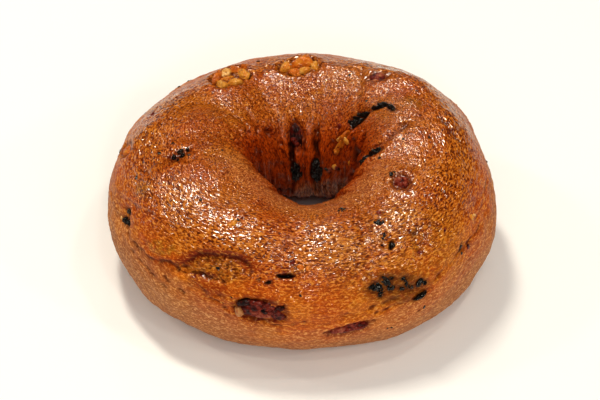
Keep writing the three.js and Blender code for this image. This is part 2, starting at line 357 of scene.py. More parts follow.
@dataclass(frozen=True)
class Furrow:
    """A crease over the crust through some places, in millimetres.

    Its depth falls off as a bell across the line, and is a ridge's height where it is negative. A
    step lowers the crust below the line and lets it rise again over the reach, as where one fold of
    skin lies on another.
    """

    path: Path
    depth: float
    width: float
    step: float = 0.0
    reach: float = 7.0
    pieces: ClassVar[int] = 8
    unevenness: ClassVar[float] = 0.6
    uneven_period: ClassVar[float] = 3.5

    def line(self, form: RingForm) -> Array:
        """Points over the smooth crust along the path.

        Args:
            form: The smooth ring.

        Returns:
            Points in millimetres, some between each two places.
        """
        azimuth, section = np.radians(np.array(self.path, float)).T
        knots = np.arange(len(self.path))
        spots = np.linspace(0, len(self.path) - 1, (len(self.path) - 1) * self.pieces + 1)
        azimuth = np.interp(spots, knots, np.unwrap(azimuth))
        return form.points(azimuth, np.interp(spots, knots, section))

    def height(self, form: RingForm, points: Array, ups: Array) -> Array:
        """Height that the crease gives to points of the crust.

        Args:
            form: The smooth ring.
            points: Points of the smooth crust.
            ups: Directions up the section at those points.

        Returns:
            Height in millimetres, negative in a crease.
        """
        line = self.line(form)
        margin = 3 * self.width + (3 * self.reach if self.step else 0)
        near = np.all((points > line.min(0) - margin) & (points < line.max(0) + margin), axis=-1)
        spots = points[near]
        best = np.full(len(spots), np.inf)
        side = np.zeros(len(spots))
        for start, end in zip(line[:-1], line[1:]):
            span = end - start
            share = np.clip((spots - start) @ span / (span @ span), 0, 1)
            away = spots - start - share[:, None] * span
            distance = np.linalg.norm(away, axis=-1)
            closer = distance < best
            best = np.where(closer, distance, best)
            side = np.where(closer, -(away * ups[near]).sum(-1), side)
        below = np.exp(-best / self.reach) * smooth(0.5 + side / self.width)
        uneven = 1 + self.unevenness * Grain(71).noise(spots / self.uneven_period)
        height = np.zeros(points.shape[:-1])
        height[near] = -uneven * (self.depth * np.exp(-((best / self.width) ** 2))
                                  + self.step * below)
        return height


@dataclass(frozen=True)
class Hollow:
    """A dip of the crust, or a bulge where its depth is negative, in millimetres."""

    place: Place
    length: float
    width: float
    depth: float
    edge: Edge = Edge.SOFT
    tint: Tint | None = None
    strength: float = 1.0
    uneven: float = 0.15

    def shares(self, form: RingForm, points: Array) -> tuple[Array, Array]:
        """Where each point lies in the hollow.

        The rim is an ellipse, moved in and out by noise so that no two hollows are alike.

        Args:
            form: The smooth ring.
            points: Points of the crust.

        Returns:
            Distance from the middle, 1 at the rim, and height across, 1 at the top.
        """
        x, y, z = np.moveaxis(form.local(self.place, points), -1, 0)
        wave = Grain(int(10 * self.place.azimuth)).noise(points / (0.35 * self.length + 0.4))
        reach = np.hypot(x / (self.length / 2), y / (self.width / 2)) * (1 + self.uneven * wave)
        return np.hypot(reach, z / self.length), y / (self.width / 2)

    def height(self, form: RingForm, points: Array) -> Array:
        """Height that the hollow gives to points of the crust.

        A soft one is a smooth bowl, a sharp one a floor with a steep wall. Under a ledge the crust
        drops at once by its upper rim and rises slowly towards its lower one.

        Args:
            form: The smooth ring.
            points: Points of the crust.

        Returns:
            Height in millimetres, negative in the hollow.
        """
        reach, across = self.shares(form, points)
        if self.edge is Edge.SHARP:
            shape = 1 - smooth((reach - 0.55) / 0.45)
        elif self.edge is Edge.LEDGE:
            shape = (1 - smooth((reach - 0.86) / 0.14)) * (0.6 + 0.4 * np.clip(across, -1, 1))
            shape += 0.25 * (1 - smooth(reach))
            bumps = Grain(83).fractal(points / 0.9, 2) * (1 - smooth((reach - 0.6) / 0.3))
            shape -= 0.36 * bumps - 0.12 * np.exp(-(((reach - 1.06) / 0.07) ** 2))
        else:
            shape = 1 - smooth(reach)
        return -self.depth * shape

    def stain(self, form: RingForm, points: Array) -> Array:
        """Share of the tint at points of the crust, fading over the rim."""
        reach, _ = self.shares(form, points)
        return self.strength * (1 - smooth((reach - 0.6) / 0.55))

    def lid(self, form: RingForm, points: Array) -> Array:
        """Share of smooth rust-coloured skin, a band under the upper rim of a ledge.

        Args:
            form: The smooth ring.
            points: Points of the crust.

        Returns:
            Share from 0 to 1 for each point.
        """
        reach, across = self.shares(form, points)
        band = smooth((reach - 0.6) / 0.12) * (1 - smooth((reach - 1.02) / 0.16))
        return band * smooth((across + 0.25) / 0.5)


@dataclass(frozen=True)
class Lobe:
    """A rounded part of a piece, in millimetres in its place's frame.

    The height is that of its top over the smooth crust. The tone picks its colour from the finish.
    """

    x: float
    y: float
    length: float
    width: float
    depth: float
    height: float
    turn: float = 0.0
    tone: float = 0.5

    def distance(self, x: Array, y: Array) -> Array:
        """Distance of points of the place's frame to the lobe's outline.

        Args:
            x: Way along the place's first direction, in millimetres.
            y: Way along its second direction.

        Returns:
            Millimetres, less than 0 inside the outline.
        """
        turn = np.radians(self.turn)
        along = (x - self.x) * np.cos(turn) + (y - self.y) * np.sin(turn)
        across = (y - self.y) * np.cos(turn) - (x - self.x) * np.sin(turn)
        reach = np.hypot(along / (self.length / 2), across / (self.width / 2))
        return (reach - 1) * min(self.length, self.width) / 2


@dataclass(frozen=True)
class Limits:
    """The solid's box in millimetres, which the dressed bagel stays inside."""

    low: Array
    high: Array
    softness: float = 0.22

    def hold(self, points: Array) -> Array:
        """Points moved softly inside the box.

        The distance d to a wall becomes s log(1 + exp(d / s)) for the softness s, which is d far
        from the wall and never less than 0. The floor is left out, as the base is flat.

        Args:
            points: Points in millimetres.

        Returns:
            The same points, all inside the box.
        """
        def soften(distance: Array) -> Array:
            """Distance to a wall, kept above 0."""
            return self.softness * np.logaddexp(0, distance / self.softness)

        held = self.high - soften(self.high - points)
        raised = self.low + soften(held - self.low)
        return np.concatenate([raised[..., :2], held[..., 2:]], axis=-1)


def ball(rows: int, columns: int) -> tuple[Array, Array]:
    """A closed ball of radius one.

    A direction is the sine and cosine of two angles, one from pole to pole and one round. Each pole
    is a single vertex.

    Args:
        rows: Rings of vertices between the poles.
        columns: Vertices of each ring.

    Returns:
        Vertices, and faces as rows of three vertex numbers, turning outwards.
    """
    tilt = np.pi * np.arange(1, rows + 1)[:, None] / (rows + 1)
    turn = 2 * np.pi * np.arange(columns)[None, :] / columns
    rings = np.stack(np.broadcast_arrays(
        np.sin(tilt) * np.cos(turn), np.sin(tilt) * np.sin(turn), np.cos(tilt)), axis=-1)
    vertices = np.concatenate([[[0, 0, 1]], rings.reshape(-1, 3), [[0, 0, -1]]])
    number = 1 + np.arange(rows * columns).reshape(rows, columns)
    after = np.roll(number, -1, axis=1)
    last = len(vertices) - 1
    top = np.stack([np.zeros(columns, int), number[0], after[0]], axis=-1)
    bottom = np.stack([np.full(columns, last), after[-1], number[-1]], axis=-1)
    first = np.stack([number[:-1], number[1:], after[1:]], axis=-1).reshape(-1, 3)
    second = np.stack([number[:-1], after[1:], after[:-1]], axis=-1).reshape(-1, 3)
    return vertices, np.concatenate([top, first, second, bottom])


def make_object(name: str, points: Array, faces: Array, material: bpy.types.Material,
                attributes: dict[str, Array] | None = None) -> bpy.types.Object:
    """Makes a smooth-shaded mesh object at the origin.

    Args:
        name: Object name.
        points: Vertices in millimetres.
        faces: Rows of vertex numbers, all of one length.
        material: Finish of the whole mesh.
        attributes: Values for each vertex by name, single numbers or vectors.

    Returns:
        The object, linked to the scene.
    """
    mesh = bpy.data.meshes.new(name)
    mesh.from_pydata((points * MM).tolist(), [], faces.tolist())
    for key, values in (attributes or {}).items():
        kind, target = ("FLOAT", "value") if values.ndim == 1 else ("FLOAT_VECTOR", "vector")
        layer = mesh.attributes.new(key, kind, "POINT")
        layer.data.foreach_set(target, np.ascontiguousarray(values, np.float32).ravel())
    mesh.polygons.foreach_set("use_smooth", np.ones(len(faces), bool))
    mesh.materials.append(material)
    mesh.update()
    piece = bpy.data.objects.new(name, mesh)
    bpy.context.scene.collection.objects.link(piece)
    return piece


@dataclass(frozen=True)
class CrustFinish:
    """Baked egg-washed crust of an enriched dough.

    The wash dries to a thin shiny skin over pebbled dough, so the light breaks into small glints.
    It darkens the dough under it and pools between the pebbles, where painted shade also lies,
    and leaves their crests golden, with some painted highlight on them. Folds and the hole get
    painted shade. Below the wash the side is matt, paler and floury. Lengths are in millimetres.
    A range is the stretch of a noise that becomes 0 to 1.
    """

    brown: str = "#BC560A"
    golden: str = "#C86E12"
    chestnut: str = "#8C3209"
    # Painted shade in the pebbles' low points, where the wash also pools
    pit_shade: str = "#4A0E00"
    # Light golden crests of the pebbles: partly golden crust, partly painted highlight
    crest_highlight: str = "#DE9A44"
    washed: str = "#7A3208"
    # Painted shade in folds, grooves and deep in the hole
    fold: str = "#4A0F02"
    # Redder in the hole: painted bounce light and shade of its walls
    hole: str = "#C24A04"
    pale: str = "#AA744C"
    flour: str = "#D4AC88"
    # Near black: painted shade in slits, pits and crevices
    crevice_shade: str = "#0E0704"
    berry: str = "#701E0E"
    amber: str = "#AC6A14"
    rust: str = "#8E3404"
    mottle_period: float = 12.0
    mottle_range: tuple[float, float] = (0.42, 0.62)
    cloud_period: float = 4.0
    cloud_range: tuple[float, float] = (0.5, 0.72)
    broken_period: float = 1.6
    broken_range: tuple[float, float] = (0.3, 0.6)
    pit_range: tuple[float, float] = (0.54, 0.4)
    crest_range: tuple[float, float] = (0.52, 0.66)
    pebble_period: float = 0.66
    pebble_height: float = 0.05
    wash_period: float = 1.25
    wash_height: float = 0.1
    streak: float = 2.0
    inward_streak: float = 2.3
    grain_period: float = 0.3
    grain_height: float = 0.015
    matt_relief: float = 0.55
    gloss_roughness: float = 0.36
    matt_roughness: float = 0.62
    specular: float = 0.15
    dough_ior: float = 1.45
    coat_roughness: float = 0.09
    coat_ior: float = 1.65

    def pebbles(self, tree: bpy.types.NodeTree, period: float, detail: float) -> Socket:
        """Height of the pebbled skin between 0 and 1.

        The ridges are drawn out along the ring on the outside and up the section towards the hole,
        as the skin is stretched there. Both patterns lie on the map that follows the skin.

        Args:
            tree: Node tree that takes the pattern.
            period: Distance between pebbles in millimetres.
            detail: Octaves of finer noise on the pebbles.

        Returns:
            Socket of the height.
        """
        crust = add_node(tree, "Attribute", {"attribute_name": "crust"}).outputs["Vector"]
        inward = add_node(tree, "Attribute", {"attribute_name": "inward"}).outputs["Fac"]
        patterns = []
        around = (1.0, 1.0, self.streak)
        upward = (self.inward_streak, self.inward_streak, 1.0)
        for streak, stretch in ((self.streak, around), (self.inward_streak, upward)):
            scale = tuple(k / period / streak**0.5 for k in stretch)
            spot = add_node(tree, "VectorMath", {"operation": "MULTIPLY"}, {0: crust, 1: scale})
            noise = add_node(tree, "TexNoise", None,
                             {"Vector": spot.outputs[0], "Scale": 1.0, "Detail": detail,
                              "Roughness": 0.55, "Distortion": 0.6})
            patterns.append(noise.outputs["Fac"])
        return add_node(tree, "Mix", {"data_type": "FLOAT"},
                        {0: inward, 2: patterns[0], 3: patterns[1]}).outputs[0]

    def colour(self, tree: bpy.types.NodeTree, place: Socket, pebbles: Socket) -> Socket:
        """Colour of the crust: mottled browns, painted shade and highlight, tinted by its patches.

        Args:
            tree: Node tree that takes the colour.
            place: Socket of the place in the object.
            pebbles: Socket of the pebbles' height.

        Returns:
            Socket of the colour.
        """
        attribute = {key: add_node(tree, "Attribute", {"attribute_name": key}).outputs["Fac"]
                     for key in ("cavity", "hole", "throat", "gloss", "pale", "dark", "red",
                                 "amber", "rust")}

        def spread(value: Socket, ends: tuple[float, float]) -> Socket:
            """Value stretched so that the two ends become 0 and 1."""
            inputs = {"Value": value, "From Min": ends[0], "From Max": ends[1]}
            return add_node(tree, "MapRange", None, inputs).outputs["Result"]

        def cloud(period: float, detail: float, ends: tuple[float, float]) -> Socket:
            """Noise of a period in millimetres, stretched between two ends."""
            noise = add_node(tree, "TexNoise", None,
                             {"Vector": place, "Scale": 1 / (period * MM), "Detail": detail})
            return spread(noise.outputs["Fac"], ends)

        def mix(factor: Socket, first: Socket | str, second: str) -> Socket:
            """Blend of two colours."""
            below = first if isinstance(first, Socket) else colour(first)
            node = add_node(tree, "Mix", {"data_type": "RGBA"},
                            {0: factor, 6: below, 7: colour(second)})
            return node.outputs[2]

        def times(first: Socket, second: Socket | float, gain: float = 0.0) -> Socket:
            """Product of two factors plus a gain, held between 0 and 1."""
            node = add_node(tree, "Math", {"operation": "MULTIPLY_ADD", "use_clamp": True},
                            {0: first, 1: second, 2: gain})
            return node.outputs[0]

        broken = cloud(self.broken_period, 3.0, self.broken_range)
        pits = spread(pebbles, self.pit_range)
        crests = spread(pebbles, self.crest_range)
        # Each layer lies on the ones before it: where and how strongly it shows, and its colour
        layers = (
            (times(cloud(self.cloud_period, 4.0, self.cloud_range), 0.5), self.chestnut),
            (times(attribute["pale"], 0.85), self.pale),
            (times(attribute["amber"], broken), self.amber),
            (attribute["rust"], self.rust),
            (times(attribute["red"], broken), self.berry),
            # Redder in the hole: painted bounce light and shade of its walls
            (times(attribute["hole"], 0.85), self.hole),
            (times(attribute["throat"], 0.6), self.pale),
            (times(attribute["gloss"], 0.2), self.washed),
            # Painted shade in the pebbles' low points, where the wash also pools
            (times(pits, times(attribute["gloss"], 0.65, 0.28)), self.pit_shade),
            # Crests of the pebbles: partly golden crust, partly painted highlight
            (times(crests, times(attribute["hole"], -0.6, 0.7)), self.crest_highlight),
            (times(crests, times(attribute["pale"], 0.5)), self.flour),
            # Painted shade in folds, in the grooves round the pieces and deep in the hole
            (attribute["cavity"], self.fold),
            # Painted shade in slits, pits and crevices
            (attribute["dark"], self.crevice_shade))
        shade = mix(cloud(self.mottle_period, 3.0, self.mottle_range), self.brown, self.golden)
        for factor, tint in layers:
            shade = mix(factor, shade, tint)
        return shade

    def normals(self, tree: bpy.types.NodeTree, place: Socket) -> tuple[Socket, Socket]:
        """Normals of the wash, pooled over the pebbles, and of the pebbled skin under it.

        Args:
            tree: Node tree that takes the bumps.
            place: Socket of the place in the object.

        Returns:
            Sockets of the wash's normal and of the skin's.
        """
        gloss = add_node(tree, "Attribute", {"attribute_name": "gloss"}).outputs["Fac"]
        grain = add_node(tree, "TexNoise", None,
                         {"Vector": place, "Scale": 1 / (self.grain_period * MM), "Detail": 1.0})
        share = add_node(tree, "MapRange", None,
                         {"Value": gloss, "To Min": self.matt_relief,
                          "To Max": 1.0}).outputs["Result"]
        heights = ((self.pebbles(tree, self.wash_period, 1.0), self.wash_height),
                   (self.pebbles(tree, self.pebble_period, 1.0), self.pebble_height),
                   (grain.outputs["Fac"], self.grain_height))
        normals = []
        for pattern, height in heights:
            raised = add_node(tree, "Math", {"operation": "MULTIPLY"}, {0: pattern, 1: share})
            inputs = {"Height": raised.outputs[0], "Strength": 1.0,
                      "Distance": NOISE_GAIN * height * MM}
            if normals:
                inputs["Normal"] = normals[-1]
            normals.append(add_node(tree, "Bump", None, inputs).outputs["Normal"])
        return normals[0], normals[-1]

    def material(self) -> bpy.types.Material:
        """Brown crust with a shiny washed skin above and a matt side below.

        Returns:
            The material.
        """
        material, tree, surface = new_material("baked_crust")
        place = add_node(tree, "TexCoord").outputs["Object"]
        gloss = add_node(tree, "Attribute", {"attribute_name": "gloss"}).outputs["Fac"]
        rough = add_node(tree, "MapRange", None,
                         {"Value": gloss, "To Min": self.matt_roughness,
                          "To Max": self.gloss_roughness}).outputs["Result"]
        pebbles = self.pebbles(tree, self.pebble_period, 3.0)
        washed, grained = self.normals(tree, place)
        shader = add_node(tree, "BsdfPrincipled", None, {
            "Base Color": self.colour(tree, place, pebbles), "Roughness": rough,
            "IOR": self.dough_ior, "Specular IOR Level": self.specular, "Coat Weight": gloss,
            "Coat Roughness": self.coat_roughness, "Coat IOR": self.coat_ior,
            "Normal": grained, "Coat Normal": washed})
        tree.links.new(shader.outputs["BSDF"], surface)
        return material


@dataclass(frozen=True)
class PieceFinish:
    """Skin of a piece in the crust.

    The piece's tone, moved by patches of noise, picks its colour along the shades. A darker colour
    lies in its furrows as painted shade, and what is sugary or oily shines.
    """

    name: str
    slot: str
    shades: tuple[str, ...]
    spread: float
    # Colour of the painted shade in the furrows
    furrow: str
    patch_period: float
    roughness: float
    coat: float
    bump_period: float
    bump_height: float
    patch_range: ClassVar[tuple[float, float]] = (0.3, 0.7)
    detail: ClassVar[float] = 3.0
    skin_ior: ClassVar[float] = 1.45
    specular: ClassVar[float] = 0.25
    coat_roughness: ClassVar[float] = 0.14

    def material(self) -> bpy.types.Material:
        """Patched and furrowed skin with a fine bump.

        Returns:
            The material, named for the finish.
        """
        material, tree, surface = new_material(self.name)
        place = add_node(tree, "TexCoord").outputs["Object"]
        patch = add_node(tree, "TexNoise", None,
                         {"Vector": place, "Scale": 1 / (self.patch_period * MM),
                          "Detail": self.detail})
        low, high = self.patch_range
        moved = add_node(tree, "MapRange", {"clamp": False},
                         {"Value": patch.outputs["Fac"], "From Min": low, "From Max": high,
                          "To Min": -self.spread, "To Max": self.spread}).outputs["Result"]
        tone = add_node(tree, "Attribute", {"attribute_name": "tone"}).outputs["Fac"]
        place_on = add_node(tree, "Math", {"operation": "ADD"}, {0: tone, 1: moved}).outputs[0]
        count = len(self.shades) - 1
        stops = [(k / count, colour(code)) for k, code in enumerate(self.shades)]
        shade = add_node(tree, "ValToRGB", {"stops": stops}, {"Fac": place_on}).outputs["Color"]
        # Painted shade in the furrows
        deep = add_node(tree, "Attribute", {"attribute_name": "cavity"}).outputs["Fac"]
        shade = add_node(tree, "Mix", {"data_type": "RGBA"},
                         {0: deep, 6: shade, 7: colour(self.furrow)}).outputs[2]
        fine = add_node(tree, "TexNoise", None,
                        {"Vector": place, "Scale": 1 / (self.bump_period * MM),
                         "Detail": self.detail})
        bump = add_node(tree, "Bump", None,
                        {"Height": fine.outputs["Fac"], "Strength": 1.0,
                         "Distance": NOISE_GAIN * self.bump_height * MM}).outputs["Normal"]
        shader = add_node(tree, "BsdfPrincipled", None, {
            "Base Color": shade, "Roughness": self.roughness, "IOR": self.skin_ior,
            "Specular IOR Level": self.specular, "Coat Weight": self.coat,
            "Coat Roughness": self.coat_roughness, "Normal": bump, "Coat Normal": bump})
        tree.links.new(shader.outputs["BSDF"], surface)
        return material


# Dried cranberry: nearly black where folded, with painted shade in its furrows, dark red where
# thin, dull pink where it is sugared
CRANBERRY_SKIN = PieceFinish(
    name="dried_cranberry", slot="cranberry",
    shades=("#140303", "#400C06", "#741E0C", "#944A32", "#B07A48"), spread=0.26, furrow="#0C0203",
    patch_period=1.2, roughness=0.42, coat=0.3, bump_period=0.6, bump_height=0.07)
# Roasted walnut: cream kernel, yellow where oily, orange and brown where roasted
WALNUT_KERNEL = PieceFinish(
    name="roasted_walnut", slot="walnut",
    shades=("#E0B474", "#CC8A30", "#C86A12", "#8A3A0C"), spread=0.22, furrow="#6A2A0A",
    patch_period=1.8, roughness=0.42, coat=0.4, bump_period=0.6, bump_height=0.05)
# Baked raisin: black and wrinkled, browner where its skin is torn
RAISIN_SKIN = PieceFinish(
    name="baked_raisin", slot="raisin",
    shades=("#040404", "#0B0B09", "#1E150E", "#4A3420"), spread=0.45, furrow="#020202",
    patch_period=0.8, roughness=0.36, coat=1.0, bump_period=0.7, bump_height=0.1)


@dataclass
class Fruit:
    """A piece held in the crust, made of one or more lobes that stand for one node.

    The dip is the depth of the groove round it, in millimetres.
    """

    node: str
    place: Place
    dip: float
    lobes: tuple[Lobe, ...]
    rows: ClassVar[int] = 40
    columns: ClassVar[int] = 56
    ragged: ClassVar[float] = 0.25
    block_power: ClassVar[float] = 2.3
    groove_width: ClassVar[float] = 0.4
    lip_way: ClassVar[float] = 1.3
    lip_width: ClassVar[float] = 0.8
    lip_share: ClassVar[float] = 0.35
    finish: ClassVar[PieceFinish] = CRANBERRY_SKIN

    def radius(self, ways: Array, lobe: Lobe, grain: Grain) -> tuple[Array, Array]:
        """Radius of the lobe as a share of its half sizes, and its furrow depth, for each way out.

        The outline is a superellipsoid, pushed in and out by slow noise. Long folds run along it:
        ridges of noise that changes three times as fast across as along.

        Args:
            ways: Unit vectors from the lobe's middle.
            lobe: The lobe; not used.
            grain: Noise of this lobe.

        Returns:
            The radius and the share of shade in the folds, one of each for every way.
        """
        block = (np.abs(ways) ** self.block_power).sum(-1) ** (-1 / self.block_power)
        folds = grain.ridged(ways * (0.9, 2.6, 2.6) + 5)
        fine = grain.ridged(ways * (2.6, 5.2, 5.2))
        bent = grain.noise(ways * 1.4 + 3)
        size = block * (0.92 + 0.08 * folds + 0.035 * fine + 0.12 * bent)
        return size, smooth(-0.1 - 0.7 * folds - 0.35 * fine)

    def build(self, form: RingForm, limits: Limits,
              material: bpy.types.Material) -> bpy.types.Object:
        """Makes the piece from its lobes, each a ball stretched to the lobe's sizes.

        The points are moved out of the crust by noise in millimetres, so that the line where the
        piece leaves the dough is ragged.

        Args:
            form: The smooth ring that carries the piece.
            limits: Box that the piece stays in.
            material: Finish of the piece.

        Returns:
            The object, riding on the body and standing for its node.
        """
        origin, axes = form.frame(self.place)
        ways, faces = ball(self.rows, self.columns)
        points, parts, cavity, tones = [], [], [], []
        for number, lobe in enumerate(self.lobes):
            grain = Grain(int(10 * self.place.azimuth) + 17 * number)
            size, deep = self.radius(ways, lobe, grain)
            half = np.array([lobe.length, lobe.width, lobe.depth]) / 2
            x, y, z = np.moveaxis(ways * size[:, None] * half, -1, 0)
            turn = np.radians(lobe.turn)
            local = np.stack([lobe.x + x * np.cos(turn) - y * np.sin(turn),
                              lobe.y + x * np.sin(turn) + y * np.cos(turn),
                              lobe.height - lobe.depth / 2 + z], axis=-1)
            local[:, 2] += self.ragged * grain.fractal(local / 1.4 + 20, 3)
            points.append(origin + local @ axes)
            parts.append(faces + number * len(ways))
            cavity.append(deep)
            tones.append(np.full(len(ways), lobe.tone))
        held = limits.hold(np.concatenate(points))
        piece = make_object(self.node + "_piece", held, np.concatenate(parts),
                            material, {"cavity": np.concatenate(cavity),
                                       "tone": np.concatenate(tones)})
        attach(piece, BODY)
        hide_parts(self.node)
        return piece

    def seat(self, form: RingForm, points: Array) -> tuple[Array, Array]:
        """Dough round the piece: a low lip of skin, then a narrow groove at the piece's outline.

        Args:
            form: The smooth ring that carries the piece.
            points: Points of the crust.

        Returns:
            Height in millimetres, and the share of shade in the groove.
        """
        x, y, z = np.moveaxis(form.local(self.place, points), -1, 0)
        away = np.min([lobe.distance(x, y) for lobe in self.lobes], axis=0)
        away = away + 0.35 * Grain(5).noise(points / 1.3) + np.maximum(np.abs(z) - 4, 0)
        groove = np.exp(-((away / self.groove_width) ** 2))
        lip = np.exp(-(((away - self.lip_way) / self.lip_width) ** 2))
        inside = 1 - smooth(away / self.groove_width + 0.5)
        height = self.lip_share * self.dip * lip - self.dip * np.maximum(groove, inside)
        return height, groove


class Cranberry(Fruit):
    """Dried cranberry, a leathery oval with long folds."""


class Walnut(Fruit):
    """Broken walnut, lobes with flat faces and rounded edges."""

    planes: ClassVar[int] = 12
    nearest_plane: ClassVar[float] = 0.7
    sharpness: ClassVar[int] = 16
    largest: ClassVar[float] = 1.15
    finish = WALNUT_KERNEL

    def radius(self, ways: Array, lobe: Lobe, grain: Grain) -> tuple[Array, Array]:
        """Radius of a rounded crystal: the power mean of the distances to random planes.

        The reach of a direction to a plane is the plane's distance over the cosine to its normal,
        and the lobe ends near the nearest plane.

        Args:
            ways: Unit vectors from the lobe's middle.
            lobe: The lobe; not used.
            grain: Noise of this lobe.

        Returns:
            The radius and the share of shade in the bark's furrows, one of each for every way.
        """
        rng = np.random.default_rng(grain.seed)
        normals = unit(rng.normal(size=(self.planes, 3)))
        distances = rng.uniform(self.nearest_plane, 1.0, self.planes)
        facing = np.maximum(ways @ normals.T, 0) / distances
        size = (facing**self.sharpness).sum(-1) ** (-1 / self.sharpness)
        size = np.minimum(size, self.largest)
        bark = grain.fractal(ways * 2.6, 3)
        return size * (0.97 + 0.09 * bark), smooth(-0.3 - 1.3 * bark)


class Raisin(Fruit):
    """Raisin baked dry, flat and deeply wrinkled."""

    ragged = 0.55
    smallest: ClassVar[float] = 0.35
    largest: ClassVar[float] = 1.15
    finish = RAISIN_SKIN

    def radius(self, ways: Array, lobe: Lobe, grain: Grain) -> tuple[Array, Array]:
        """Radius of a ball with a net of deep wrinkles, and a ragged outline of larger noise.

        Args:
            ways: Unit vectors from the lobe's middle.
            lobe: The lobe; not used.
            grain: Noise of this lobe.

        Returns:
            The radius and the share of shade in the wrinkles, one of each for every way.
        """
        folds = grain.ridged(ways * 2.4 + 3)
        fine = grain.ridged(ways * 5.1)
        torn = grain.noise(ways * 2.1 + 9)
        size = 0.86 + 0.16 * folds + 0.1 * fine + 0.34 * torn
        return np.clip(size, self.smallest, self.largest), smooth(-0.1 - 0.8 * folds)


